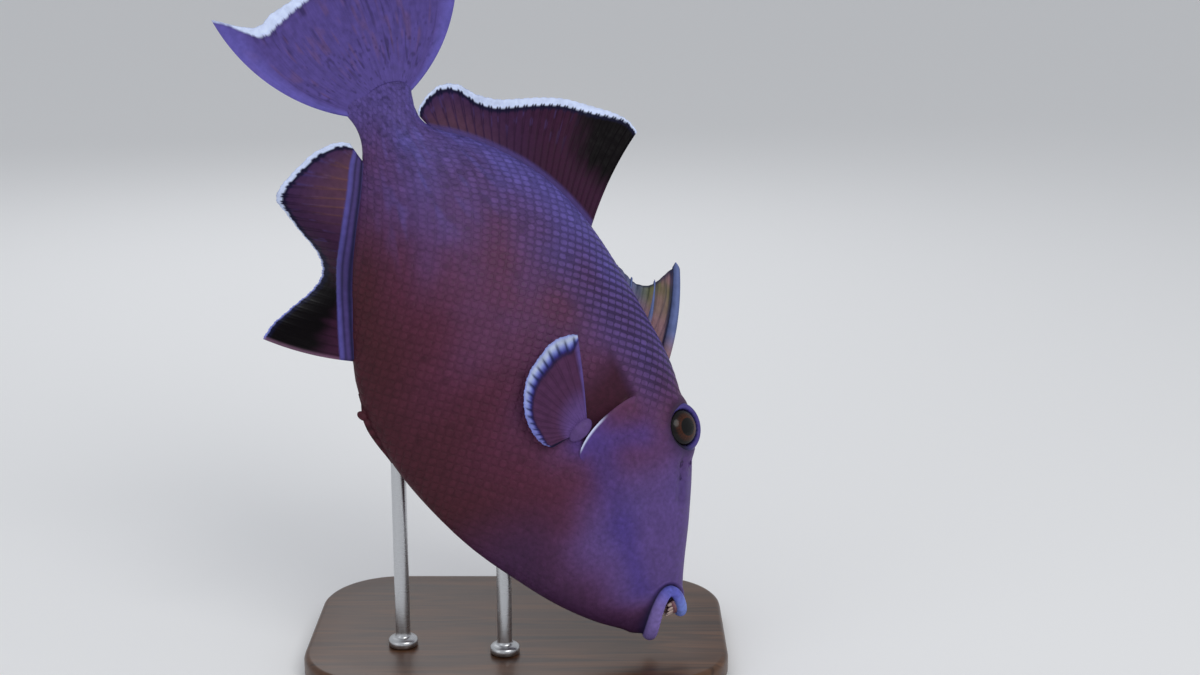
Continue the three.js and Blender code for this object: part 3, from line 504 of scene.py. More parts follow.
def lip_frame(phi):
    def loop(t):
        share = np.abs(np.sin(t)) ** LIPS["sweep"]
        front = LIPS["upper_station"] + (LIPS["lower_station"] - LIPS["upper_station"]) * (0.5 - 0.5 * np.cos(t))
        middle = (LIPS["upper_height"] + LIPS["lower_height"]) / 2
        reach = (LIPS["upper_height"] - LIPS["lower_height"]) / 2
        return np.stack(
            [-front - (LIPS["corner"] - front) * share, LIPS["half_width"] * np.sin(t),
             middle + reach * np.cos(t) + LIPS["rise"] * share], -1)

    centre = loop(phi)
    along = unit(loop(phi + 0.02) - loop(phi - 0.02))
    out = centre - np.array([-8.0, 0, 1])
    out = unit(out - (out * along).sum(-1, keepdims=True) * along)
    ahead = unit(np.cross(along, out))
    ahead = ahead * np.sign(ahead[..., :1] + 1e-9)
    radius = LIPS["upper"] + (LIPS["lower"] - LIPS["upper"]) * (0.5 - 0.5 * np.cos(phi))
    return centre, out, ahead, radius - LIPS["thinner"] * np.sin(phi) ** 2


HALF_COLUMNS = 128
SKIN_COLUMNS = 2 * HALF_COLUMNS


def column_angles(s):
    """Angles of the skin's columns at a station, evenly spaced round it."""
    i = int(round(float(np.clip(s, 20, 336))))
    share = np.linspace(0, 1, HALF_COLUMNS + 1)
    half = np.interp(share * ARC[i, -1], ARC[i], ANGLES)
    return np.concatenate([half, 2 * math.pi - half[-2:0:-1]])


THROAT = np.array([-24.0, 0, 2.0])
LIP_INSIDE, LIP_OUTSIDE = 225, -48  # the angles round a lip's own section between which it is seen


def build_skin():
    first = column_angles(SKIN_START)
    centre, out, ahead, radius = lip_frame(first)
    rings, tints = [], []
    a = math.radians(LIP_INSIDE)
    inner = centre + (out * math.cos(a) + ahead * math.sin(a)) * radius[:, None]
    for k in range(9):
        t = k / 9
        spread = (1 - (1 - t) ** 2) ** 0.5
        ring = THROAT + (inner - THROAT) * np.array([t ** 1.2, spread, spread])
        rings.append(ring)
        lining = mix(C["lining"], C["teal"], ease(0.6, 1, t) * 0.6)
        # Painted shade: the lining darkens towards the back of the throat.
        tints.append(mix(C["recess"] * 1.2, lining, ease(0.1, 0.7, t)) * np.ones((SKIN_COLUMNS, 1)))
    for angle in np.linspace(LIP_INSIDE, LIP_OUTSIDE, 20):
        a = math.radians(angle)
        wrinkle = 1 + 0.018 * np.sin(first * 46) * ease(-40, 60, angle)
        ring = centre + (out * math.cos(a) + ahead * math.sin(a)) * (radius * wrinkle)[:, None]
        rings.append(ring)
        inside = ease(110, 200, angle)
        round_mouth = 0.5 - 0.5 * np.cos(first)
        colour = mix(C["lip_pale"], C["lip"], ease(0.02, 0.3, round_mouth))
        colour = mix(colour, C["lilac"], ease(0.45, 0.85, round_mouth))
        colour = mix(colour, colour * 1.25, ease(10, 80, angle))
        colour = mix(colour, mix(C["teal"], C["lining"], ease(0.05, 0.4, round_mouth)), inside * 0.85)
        tints.append(colour * (1 + 0.04 * np.sin(first * 46 + 1))[:, None])
    # Painted shade: the crease behind the lips is painted dark.
    crease = centre + out * (radius * 0.42)[:, None] - ahead * (radius * 1.02)[:, None]
    rings.append(crease)
    tints.append(C["fold"] * np.ones((SKIN_COLUMNS, 1)))
    start = -crease[:, 0]
    offset = crease - section(start, first)
    for u in np.linspace(0, 1, 26)[1:-1]:
        s = start + (SKIN_START - start) * u
        keep = (1 - u) ** 2.4
        base = body(s, first)
        ring = base + offset * keep
        lift = out * (0.9 * bump(u, 0.16, 0.1))
        rings.append(ring + lift)
        # Painted shade: the skin just behind the lips darkens into the crease.
        fold = bump(u, 0, 0.1)
        tints.append(mix(body_tint(base), C["fold"], fold * 0.85))
    for s in np.concatenate([np.arange(SKIN_START, 330, 1.35), np.linspace(330.6, SKIN_END, 8)]):
        phi = column_angles(s)
        ring = body(np.full(len(phi), s), phi)
        rings.append(ring)
        dots = dot_share(ring) * (1 - ease(255, 290, s))
        shade = 0.1 * ease(80, 130, s) + 0.5 * nape_share(ring) + 0.2 * dots
        tints.append(body_tint(ring) * (1 - shade)[:, None])
    points = np.concatenate(rings)
    tint = np.concatenate(tints)
    rows = len(rings)
    last = (rows - 1) * SKIN_COLUMNS
    u = np.repeat(np.linspace(0, 1, rows), SKIN_COLUMNS)
    v = np.tile(np.arange(SKIN_COLUMNS) / SKIN_COLUMNS, rows)
    side = grid_faces(rows, SKIN_COLUMNS, closed=True, flip=True)
    points = np.concatenate([points, rings[0].mean(0)[None], rings[-1].mean(0)[None]])
    tint = np.concatenate([tint, tints[0][:1], tints[-1][:1]])
    uv = np.concatenate([np.stack([u, v], 1), [[0, 0.5], [1, 0.5]]])
    j = np.arange(SKIN_COLUMNS)
    k = (j + 1) % SKIN_COLUMNS
    front = np.stack([np.full_like(j, len(points) - 2), j, k], 1)
    rear = np.stack([np.full_like(j, len(points) - 1), last + k, last + j], 1)
    make("skin", points, [side, front, rear], SKIN, tint, uv,
                replaces=("head", "trunk", "tail_peduncle", "lips"), slot="skin_trunk")


build_skin()


# Scales: low plates in crossing rows, each a closed piece sunk into the skin


CORNERS = 12
RINGS = [(1.0, -0.3), (0.92, 0.06), (0.62, 0.12), (0.0, 0.15)]  # each plate's share of its size, and height
TO_SKIN = ROW_PITCH / (2 * ROW_SLANT)
SCALED = dict(front=36, rear=326, seam=2.2, eye=15.5, snout=46)  # where they start and end, and what they keep off


def build_scales(side, name):
    limit = int(SKIN_END / ROW_PITCH) + 40
    a, b = np.meshgrid(np.arange(-limit, limit) + 0.5, np.arange(-limit, limit) + 0.5, indexing="ij")
    a, b = a.ravel(), b.ravel()
    s = -(a + b) * TO_SKIN
    girth = (b - a) * TO_SKIN
    i = np.clip(s, 0, SKIN_END - 1).astype(int)
    seam = SCALED["seam"]
    keep = (s > SCALED["front"]) & (s < SCALED["rear"]) & (girth < -seam) & (girth > LOW_GIRTH[i] + seam)
    s, girth = s[keep], girth[keep]
    phi = angle_at(s, girth) * side
    middle = body(s, phi)
    rho, _ = eye_distance(middle, side)
    behind, end = gill_place(middle)
    inside = (behind > -1.5) & (behind < 24) & (end < 1.05)
    snout = s - 0.5 * np.clip(middle[:, 2] + 10, 0, 40)
    keep = (rho > SCALED["eye"]) & ~inside & (snout > SCALED["snout"])
    s, girth, phi, middle = s[keep], girth[keep], phi[keep], middle[keep]
    n = len(s)
    low = 0.35 + 0.65 * ease(80, 135, s)
    size = rng.uniform(0.97, 1.01, n)
    turn = turns(CORNERS)
    corner = np.stack([squared(np.cos(turn), 0.62), squared(np.sin(turn), 0.62)], 1)
    nape = nape_share(middle)
    dots = dot_share(middle) * rng.uniform(0.2, 1, n)
    half_a = 0.486 - 0.13 * nape * rng.uniform(0.6, 1.1, n)
    half_b = 0.486 + 0.014 * nape
    node = ease(0.3, 0.6, np.abs(corner[:, 0] * corner[:, 1]))[None, :, None]
    line = (np.abs(corner[:, 0]) ** 3)[None, :, None]
    seam = ((0.06 + 0.1 * low) * (1 - 0.8 * nape))[:, None, None]
    ripple = nape[:, None, None] * line
    dotted = dots[:, None, None] * node
    points, tints = [], []
    tone = 1 + (0.025 + 0.05 * dot_share(middle)) * rng.normal(size=n)
    spot = (rng.uniform(0, 1, n) < 0.04 + 0.1 * dot_share(middle)) * ease(90, 130, s)
    for kind, (scale, height) in enumerate(RINGS):
        shape = corner * scale if scale else np.zeros((1, 2))
        da = shape[:, 0] * half_a[:, None] * size[:, None]
        db = shape[:, 1] * half_b[:, None] * size[:, None]
        dx = (da + db) * TO_SKIN
        place, around = s[:, None] - dx, angle_at(s[:, None] - dx, girth[:, None] + (db - da) * TO_SKIN) * side
        base_point = section(place, around)
        lift = relief(base_point) + (height + dx / 60) * low[:, None]
        points.append(base_point + section_normal(place, around) * lift[..., None])
        colour = body_tint(base_point) * tone[:, None, None]
        if kind == 0:
            colour = colour * (1 - seam - 0.55 * ripple) * (1 - 0.6 * dotted)
        elif kind == 1:
            colour = colour * (1 - 0.4 * seam - 0.55 * ripple) * (1 - 0.45 * dotted)
        elif kind == 2:
            colour = colour * (1 - 0.08 * ripple)
        if kind >= 2:
            colour = colour * (1 - 0.22 * spot[:, None, None])
        tints.append(colour)
    points = np.concatenate(points, 1)
    tint = np.concatenate(tints, 1)
    each = points.shape[1]
    j = np.arange(CORNERS)
    quads = grid_faces(3, CORNERS, closed=True)
    tris = np.stack([2 * CORNERS + j, 2 * CORNERS + (j + 1) % CORNERS, np.full(CORNERS, 3 * CORNERS)], 1)
    order = np.arange(n)[:, None, None] * each
    quads = (quads[None] + order).reshape(-1, 4)
    tris = (tris[None] + order).reshape(-1, 3)
    bottoms = j[::-1][None] + np.arange(n)[:, None] * each
    if side < 0:
        quads, tris, bottoms = quads[:, ::-1], tris[:, ::-1], bottoms[:, ::-1]
    local = np.concatenate([corner, corner * 0.86, corner * 0.5, [[0, 0]]])
    root = np.stack([s / 345, (phi / (2 * math.pi)) % 1], 1)
    uv = (root[:, None] + local[None] * 0.0015).reshape(-1, 2)
    make(name, points.reshape(-1, 3), [quads, tris, bottoms], SCALE, tint.reshape(-1, 3), uv,
                slot="skin_trunk")


build_scales(-1, "scales_right")
build_scales(1, "scales_left")


# Fins


def plate_points(surface, half, u, v):
    """Both faces of a thin plate over a grid of u by v."""
    U, V = np.meshgrid(u, v, indexing="ij")
    e = 1e-3
    du = surface(np.minimum(U + e, 1), V) - surface(np.maximum(U - e, 0), V)
    dv = surface(U, np.minimum(V + e, 1)) - surface(U, np.maximum(V - e, 0))
    normal = unit(np.cross(du, dv))
    middle = surface(U, V)
    t = half(U, V)[..., None]
    return middle + normal * t, middle - normal * t, U, V


def plate(name, surface, half, tint, columns, rows, material, rows_power=1.0, **more):
    u = np.linspace(0, 1, columns + 1)
    v = np.linspace(0, 1, rows + 1) ** rows_power
    top, bottom, U, V = plate_points(surface, half, u, v)
    n = top.shape[0] * top.shape[1]
    points = np.concatenate([top.reshape(-1, 3), bottom.reshape(-1, 3)])
    colour = tint(U, V)
    colour = np.concatenate([colour.reshape(-1, 3)] * 2)
    R, K = columns + 1, rows + 1
    index = np.arange(n).reshape(R, K)
    faces = [grid_faces(R, K), grid_faces(R, K, start=n, flip=True)]
    rim = np.concatenate([index[:, 0], index[-1, 1:], index[-2::-1, -1], index[0, -2:0:-1]])
    after = np.roll(rim, -1)
    faces.append(np.stack([rim, rim + n, after + n, after], 1))
    make(name, points, faces, material, colour, **more)


def ray_profile(phase, v, forks=(0.34, 0.72)):
    """The rounded ridge of a ray, which forks once or twice towards the margin. phase runs -0.5 to 0.5 across it."""
    first = 0.13 * ease(forks[0], forks[0] + 0.35, v)
    second = 0.055 * ease(forks[1], forks[1] + 0.22, v)
    width = 0.105 * (1 - 0.45 * ease(0, 0.8, v))
    total = 0
    for i in (-1, 1):
        for j in (-1, 1):
            total = np.maximum(total, bump(phase, i * first + j * second, width))
    return total


def ray_phase(u, rays):
    return (u * rays) % 1 - 0.5


def ray_ends(u, rays):
    """The rays' ridges at the fin's outer edge."""
    return ray_profile(ray_phase(u, rays), np.ones_like(u))


SOFT_DORSAL = dict(
    rays=26, front=206.0, rear=294.0,
    length=[(0, 60.6), (0.066, 61.3), (0.154, 58.4), (0.264, 53.1), (0.374, 47.2), (0.484, 39.5),
            (0.593, 31.4), (0.681, 25.9), (0.769, 24.4), (0.835, 27.4), (0.901, 25), (0.956, 17),
            (1, 8.4)],
    lean=[(0, 34), (0.154, 38), (0.264, 42), (0.374, 47), (0.484, 52), (0.593, 59), (0.681, 67),
            (0.769, 73), (0.901, 80), (0.956, 90), (1, 108)],
    bow=[(0, 2.4), (0.3, 1.5), (0.7, 0)],
    wave=[(0, 3), (0.3, 6), (0.6, -5), (0.8, -9), (1, -2)],
)
ANAL = dict(
    rays=23, front=204.0, rear=294.0,
    length=[(0, 47.3), (0.09, 40.9), (0.176, 32.1), (0.286, 20.2), (0.396, 13.8), (0.505, 15.6),
            (0.615, 27.1), (0.703, 36.8), (0.769, 42.1), (0.835, 41.7), (0.912, 32.1), (0.96, 21.8),
            (1, 10.5)],
    lean=[(0, 43), (0.09, 44), (0.176, 46), (0.286, 54), (0.396, 59), (0.505, 50), (0.615, 41),
            (0.703, 37), (0.769, 32), (0.835, 30), (0.912, 38), (0.96, 56), (1, 80)],
    bow=[(0, -1.9), (0.25, 0)],
    wave=[(0, 4), (0.15, 16), (0.32, 25), (0.5, 24), (0.68, 9), (0.85, -8), (1, -2)],
)


def soft_fin(name, fin, line_at, sign, node, tint_of, sheath):
    length_at, lean_at, wave_at, bow_at = (smooth_through(fin[k]) for k in ("length", "lean", "wave", "bow"))
    rays = fin["rays"]

    def along_of(u, v):
        return -FIN_SINK + v * (length_at(u) + RAY_TIP * ray_ends(u, rays) + FIN_SINK)

    def surface(u, v):
        s = fin["front"] + (fin["rear"] - fin["front"]) * u
        lean = np.radians(lean_at(u))
        along = along_of(u, v)
        out = np.maximum(along, 0) / length_at(u)
        flutter = 0.5 * np.sin(u * 21 + 2 * v) * out**2
        bow = 4 * bow_at(u) * out * np.maximum(1 - out, 0)
        return np.stack([-s - along * np.sin(lean) - bow * np.cos(lean), wave_at(u) * out**1.5 + flutter,
                         line_at(s) + sign * (along * np.cos(lean) - bow * np.sin(lean))], -1)

    def half(u, v):
        along = along_of(u, v)
        edge = ease(0, 0.012, u) * ease(1, 0.988, u) * ease(1, 0.975, v)
        body_part = 0.3 + 1.2 * (1 - v) ** 2.2
        ridge = RAY_RIDGE * (1.15 - 0.55 * v) * ray_profile(ray_phase(u, rays), v)
        ridge = ridge * (1 + 0.12 * np.sin(along * 3.6)) * ease(sheath - 2.5, sheath + 1.5, along)
        band = 0.75 * (1 - ease(sheath - 0.8, sheath + 0.5, along))
        return 0.1 + (body_part + ridge + band - 0.1) * edge

    def tint(u, v):
        return tint_of(u, v, along_of(u, v), length_at(u), ray_phase(u, rays))

    plate(name, surface, half, tint, rays * 10, 74, MEMBRANE, replaces=(node,), slot="fins")


def soft_colours(u, along, length, phase, v, black, margin_width, line_width):
    """Colours that the two long fins share: dark rays, a black lobe in front, a dark line and a pale margin."""
    ray = ray_profile(phase, v)
    left = length - along
    c = mix(C["fin"], C["fin_rear"], ease(0.35, 0.95, u))
    c = mix(c, c * 0.62, ray * 0.9)
    c = mix(c, C["orange"] * 0.85, (1 - ray) * ease(0.55, 0.9, u) * 0.35 * ease(0.95, 0.3, v))
    dash = ease(0.15, 0.6, cells(u * 90, v * 8, 4)) * ease(0.3, 0.7, v)
    c = mix(c, C["violet"], 0.38 * dash * ray * ease(0.2, 0.45, u))
    ragged = u + 0.03 * cells(u * 50, v * 5, 5) - 0.1 * (v - 0.6)
    lobe = (1 - ease(black - 0.09, black + 0.09, ragged)) * ease(0.25, 0.55, v + 0.06 * cells(u * 40, v * 2, 3))
    c = mix(c, C["fin_black"], 0.99 * lobe)
    reach = margin_width + 0.9 * ray * ease(0.05, 0.3, u)
    line = ease(reach + line_width + 1.2, reach + line_width - 0.4, left)
    c = mix(c, C["fin_line_and_shade"], line * 0.9)
    pale = ease(margin_width + 0.5, margin_width - 0.5, left + 1.1 * ray * (left > 0.8))
    return c, pale, ray


def dorsal_tint(u, v, along, length, phase):
    width = 1.2 + 3.2 * ease(0.02, 0.25, u) * ease(1.0, 0.7, u)
    c, pale, _ = soft_colours(u, along, length, phase, v, 0.26, width, 1.5)
    c = mix(c, C["margin"], pale * 0.95)
    c = mix(c, C["violet"] * 0.8, ease(4.5, 1.5, along) * 0.8)
    return c


def anal_tint(u, v, along, length, phase):
    width = 0.8 + 2.2 * ease(0.62, 0.8, u)
    c, pale, ray = soft_colours(u, along, length, phase, v, 0.4, width, 1.4)
    c = mix(c, C["orange"] * 1.05, 0.55 * ray * ease(0.6, 0.8, u) * ease(0.85, 0.35, v))
    c = mix(c, mix(C["margin_blue"], C["margin"], ease(0.2, 0.7, u)), pale * 0.9)
    c = mix(c, C["pink"], ease(0.02, 0.004, u) * 0.35)
    band = ease(7.6, 6.6, along)
    violet = mix(C["violet"] * 0.7, C["blue"] * 0.85, ease(3, 6.5, along))
    # Painted shade in the groove along the scaled sheath.
    violet = violet * (1 - 0.55 * bump(along, 4.0, 0.7))[..., None]
    c = mix(c, violet, band * 0.95)
    # Painted shade in the groove where the fin meets the body.
    c = mix(c, C["fin_line_and_shade"], bump(along, 0.6, 1.0) * 0.85)
    return c


soft_fin("soft_dorsal", SOFT_DORSAL, back_at, 1, "soft_dorsal_fin", dorsal_tint, 2.5)
soft_fin("anal", ANAL, belly_at, -1, "anal_fin", anal_tint, 7.0)

TAIL = dict(hub=311.0, height=1.0, along=13.0, across=18.0, angle=75.0, rays=24, forks=(0.22, 0.5),
            bend=9.0,            top=(70.0, 6.0), bottom=(58.0, 3.0),
            length=[(-1, 92), (-0.93, 79.5), (-0.85, 70.2), (-0.75, 65.9), (-0.65, 65.2), (-0.5, 62.7),
            (-0.3, 60.6), (0, 60.6), (0.3, 62.3), (0.5, 64.7), (0.65, 67.6), (0.75, 71.2),
            (0.85, 78.2), (0.93, 87.6), (1, 97)])


def turning_line(start, stop, share):
    turn = (stop - start) * share
    safe = np.where(np.abs(turn) < 1e-4, 1e-4, turn)
    return (share / safe * (np.sin(start + safe) - np.sin(start)),
            share / safe * (np.cos(start) - np.cos(start + safe)))


def build_tail():
    length_at = smooth_through(TAIL["length"])
    rays = TAIL["rays"]

    def length_of(u):
        return length_at(2 * u - 1) + 0.35 * ray_ends(u, rays)

    def surface(u, v):
        spread = 2 * u - 1
        start = np.radians(TAIL["angle"] * spread)
        root = np.radians(np.where(spread > 0, TAIL["top"][0], TAIL["bottom"][0]) * spread)
        tip = np.radians(np.where(spread > 0, TAIL["top"][1], TAIL["bottom"][1]) * spread)
        along, up = turning_line(root, tip, v)
        length = length_of(u)
        flutter = 0.6 * np.sin(u * 17 + v * 3) * v**2
        across = TAIL["across"] - 3.4 * ease(0.5, 1, spread) * (1 - v) ** 2
        return np.stack([-TAIL["hub"] - TAIL["along"] * np.cos(start) - length * along,
                         -TAIL["bend"] * v**2 + flutter,
                         TAIL["height"] + across * np.sin(start) + length * up], -1)

    def half(u, v):
        sides = 1 - 0.75 * np.abs(2 * u - 1) ** 3
        edge = ease(0, 0.01, u) * ease(1, 0.99, u) * ease(1, 0.985, v)
        ridge = RAY_RIDGE * 1.15 * (1 - 0.5 * v) * ray_profile(ray_phase(u, rays), v, TAIL["forks"])
        ridge = ridge * (1 + 0.12 * np.sin(v * length_of(u) * 3.4)) * ease(0.08, 0.22, v)
        return 0.1 + (0.22 + 3.28 * sides * (1 - v) ** 3 + ridge) * edge

    def tint(u, v):
        ray = ray_profile(ray_phase(u, rays), v, TAIL["forks"])
        spread = np.abs(2 * u - 1)
        left = (1 - v) * length_of(u)
        c = C["tail"] * np.ones(u.shape + (1,))
        streak = ease(0.0, 0.7, cells(u * 84, v * 9, 1)) * ease(-0.5, 0.3, cells(u * 22, v * 3, 6))
        c = mix(c, C["dark"] * 1.2, (0.3 + 0.5 * (1 - ray)) * ease(0.04, 0.25, v) * streak * 0.8)
        c = c * (1 + 0.1 * cells(u * 84, v * 14, 7))[..., None]
        warm = ease(0.2, 0.8, cells(u * 62, v * 8, 2))
        c = mix(c, C["orange"], warm * 0.2 * ease(0.1, 0.35, v) * ease(1.0, 0.75, v))
        speck = ease(0.45, 0.8, cells(u * 74, v * 26, 3)) * ease(0.75, 0.3, v)
        c = mix(c, C["dark"], 0.5 * speck)
        c = mix(c, C["blue"] * 1.25, ease(0.86, 0.98, spread) * 0.7)
        width = 1.0 + (3.2 + 2.2 * bump(spread, 0.65, 0.22)) * ease(0.97, 0.84, spread)
        c = mix(c, C["dark"] * 0.9, ease(width + 2.2, width + 0.6, left) * 0.3)
        c = mix(c, C["margin"], ease(width + 1.0, width - 0.9, left + 0.4 * ray) * 0.95)
        return c

    plate("tail", surface, half, tint, rays * 12, 96, MEMBRANE, replaces=("tail_fin",), slot="tail_fin")


build_tail()

SPINY = dict(front=125.5, rear=180.0, length=[(0, 50), (0.15, 39), (0.3, 27), (0.43, 18), (0.55, 12), (0.7, 6.5),
                                              (0.85, 4), (1, 2)],
             root=43.0, tip=63.0, over=50.0, rear_lean=12.0, membrane=0.45)
SPINES = [(0, 52, 3.2, 2.0), (0.36, 24.5, 1.5, 0.5), (0.74, 7.5, 1.1, 0.5)]  # place, length, root and tip radius
SPINE_ROWS, SPINE_COLUMNS = 46, 32


def spiny_point(u, along):
    s = SPINY["front"] + (SPINY["rear"] - SPINY["front"]) * u
    up, back = turning_line(np.radians(SPINY["root"] + SPINY["rear_lean"] * u),
                            np.radians(SPINY["tip"] + SPINY["rear_lean"] * u), along / SPINY["over"])
    return np.stack([-s - SPINY["over"] * back, np.zeros_like(u + along), back_at(s) + SPINY["over"] * up], -1)


def build_spiny():
    length_at = smooth_through(SPINY["length"])

    def surface(u, v):
        p = spiny_point(u, -FIN_SINK + v * (length_at(u) + FIN_SINK))
        fold = 0.5 * np.sin(u * 60) * v * ease(0, 0.1, u)
        return p + np.stack([0 * fold, fold, 0 * fold], -1)

    def half(u, v):
        crease = 0.12 * np.sin(u * 130 + 4 * v)
        return (SPINY["membrane"] + crease) * (0.25 + 0.75 * ease(1, 0.93, v)) * (0.4 + 0.6 * ease(1, 0.97, u))

    def tint(u, v):
        p = surface(u, v)
        c = mix(C["spine_pink"], C["olive"], ease(0.25, 0.8, v) * ease(-0.4, 0.5, patches(p, 9, 3)))
        c = mix(c, C["spine"], ease(0.35, 0.75, u) * 0.7)
        stripe = np.exp(-(((u * 7 + 0.6 * patches(p, 14, 2)) % 1 - 0.5) / 0.12) ** 2)
        c = mix(c, C["spine_dark"], 0.4 * stripe)
        c = mix(c, C["spine_dark"], 0.85 * bump(u * 54, 4.6, 1.1))
        return mix(c, C["spine_dark"], ease(0.9, 0.99, v) * 0.8)

    plate("spiny_membrane", surface, half, tint, 140, 50, MEMBRANE, replaces=("spiny_dorsal_fin",), slot="spiny_fin")
    for number, (u, length, root, tip) in enumerate(SPINES):
        t = np.linspace(0, 1, SPINE_ROWS)
        centre = spiny_point(np.full_like(t, u), -FIN_SINK + t * (length + FIN_SINK))
        radius = (root + (tip - root) * t**1.3) * np.sqrt(np.clip(1 - ease(0.93, 1.0, t) * 0.985, 0, 1))
        turn = turns(SPINE_COLUMNS)
        along = unit(np.gradient(centre, axis=0))
        side = np.array([0.0, 1, 0])
        front = unit(np.cross(side, along))
        rough = 1 + 0.05 * np.sin(turn[None] * 9) * ease(0.1, 0.4, t)[:, None]
        ring = centre[:, None] + (np.cos(turn)[None, :, None] * front[:, None]
                                  + np.sin(turn)[None, :, None] * side) * (radius[:, None] * rough)[..., None]
        bumps = 0.12 * (np.sin(t * 120)[:, None] > 0.3) * (np.cos(turn)[None] < -0.5)
        ring = ring - front[:, None] * bumps[..., None]
        colour = mix(C["spine"], C["spine_pink"], ease(0.35, 0.05, t))[:, None] * np.ones((1, SPINE_COLUMNS, 1))
        rear = ease(-0.55, -0.95, np.cos(turn))[None] * np.ones((SPINE_ROWS, 1))
        colour = mix(colour, C["spine_dark"], 0.8 * rear)
        colour = colour * (1 + 0.1 * np.sin(turn * 5 + 2))[None, :, None]
        points = np.concatenate([ring.reshape(-1, 3), centre[:1], centre[-1:]])
        tints = np.concatenate([colour.reshape(-1, 3), colour[0, :1], colour[-1, :1]])
        j = np.arange(SPINE_COLUMNS)
        k = (j + 1) % SPINE_COLUMNS
        ends = SPINE_ROWS * SPINE_COLUMNS
        last = ends - SPINE_COLUMNS
        caps = [np.stack([np.full_like(j, ends), k, j], 1),
                np.stack([np.full_like(j, ends + 1), last + j, last + k], 1)]
        faces = [grid_faces(SPINE_ROWS, SPINE_COLUMNS, closed=True), *caps]
        make(f"dorsal_spine_{number + 1}", points, faces, SPINE, tints, slot="spiny_fin")


build_spiny()

PECTORAL = dict(station=117.0, height=2.0, rays=14, forks=(0.4, 0.8), pad=(5.0, 3.6, 8.5), pad_share=(0.86, 0.66, 0.9),
                top=18.0, bottom=-90.0,
                length=[(0, 50.5), (0.06, 51.5), (0.15, 51), (0.24, 47.8), (0.34, 45), (0.43, 41.4), (0.53, 36.7),
                        (0.62, 32.4), (0.72, 27.2), (0.81, 22.9), (0.91, 18), (1, 12.5)])
FLARE = {-1: [(0, 0.42), (0.5, 0.4), (1, 0.34)], 1: [(0, 0.38), (0.5, 0.36), (1, 0.3)]}


def build_pectoral(side, name, node):
    length_at, flare_at = smooth_through(PECTORAL["length"]), smooth_through(FLARE[side])
    rays = PECTORAL["rays"]
    y0 = width_at_height(PECTORAL["station"], PECTORAL["height"])

    def length_of(u):
        return length_at(u) + RAY_TIP * ray_ends(u, rays)

    def surface(u, v):
        angle = np.radians(PECTORAL["top"] + (PECTORAL["bottom"] - PECTORAL["top"]) * u)
        flare = flare_at(u)
        length = v * length_of(u)
        flat = length * np.sqrt(1 - flare**2)
        ripple = 0.1 * np.sin(u * rays * 2 * math.pi) * v**2
        return np.stack([-PECTORAL["station"] - (2 + flat) * np.cos(angle),
                         side * (y0 - 1 + length * flare - 0.16 * length * v + ripple),
                         PECTORAL["height"] + PECTORAL["pad"][2] * 0.62 * (1 - 2 * u) + flat * np.sin(angle)], -1)

    def half(u, v):
        edge = ease(0, 0.02, u) * ease(1, 0.98, u) * ease(1, 0.97, v)
        ridge = RAY_RIDGE * (1 - 0.5 * v) * ray_profile(ray_phase(u, rays), v, PECTORAL["forks"])
        return 0.1 + (0.2 + 0.6 * (1 - v) ** 2 + ridge) * edge

    def tint(u, v):
        ray = ray_profile(ray_phase(u, rays), v, PECTORAL["forks"])
        left = (1 - v) * length_of(u)
        c = mix(C["pectoral"], C["pectoral"] * 0.72, ray)
        c = mix(c, C["pectoral_base"], ease(0.48, 0.12, v) * 0.85)
        c = mix(c, C["violet"] * 1.15, 0.75 * ease(0.045, 0.01, u))
        width = 8.4 * (1 - 0.55 * ease(0.12, 0.65, u)) * ease(1.0, 0.72, u) * ease(-0.03, 0.06, u) + 0.7
        share = left / width
        pale = ease(1.15, 0.85, share)
        bright = bump(share, 0.3, 0.24) * ease(0.75, 0.25, u)
        edge = mix(C["margin_blue"] * 0.9, C["margin"] * 0.66, bright)
        edge = mix(edge, C["deep_blue"], ease(0.5, 0.95, share))
        c = mix(c, edge, pale * (1 - 0.35 * ease(0.45, 0.85, u)))
        dark = np.exp(-((ray_phase(u, 19) / (0.1 + 0.12 * np.clip(share, 0, 1))) ** 2))
        c = mix(c, C["fin_line_and_shade"] * 1.6, pale * dark * 0.9 * ease(0.05, 0.5, share))
        c = mix(c, C["fin_line_and_shade"] * 1.6, 0.7 * bump(share, 1.08, 0.12))
        # Painted shadow along the fin's lower edge.
        return mix(c, C["fin_line_and_shade"], ease(0.93, 0.965, u) * 0.9)

    plate(name, surface, half, tint, rays * 10, 56, MEMBRANE, replaces=(node,), slot="fins")
    theta, phi = sphere_angles(22, 36)
    ball = np.stack([np.sin(theta) * np.cos(phi), np.sin(theta) * np.sin(phi), np.cos(theta)], -1)
    ball = ball * (np.array(PECTORAL["pad"]) * np.array(PECTORAL["pad_share"]))
    ball = pitched(ball, -0.25) + np.array([-PECTORAL["station"] - 0.5, side * y0, PECTORAL["height"]])
    colour = mix(C["pectoral_base"], C["pectoral"], 0.2) * 0.9 * (1 + 0.05 * patches(ball, 4, 1))[..., None]
    make(name + "_base", ball.reshape(-1, 3), [grid_faces(22, 36, closed=True, flip=True)], SKIN,
         colour.reshape(-1, 3), slot="fins")


build_pectoral(-1, "pectoral_right", "pectoral_fin_right")
build_pectoral(1, "pectoral_left", "pectoral_fin_left")


# Gill covers' free edges


GILL_EDGE = dict(middle=17, length=44, root=5, reach=6)


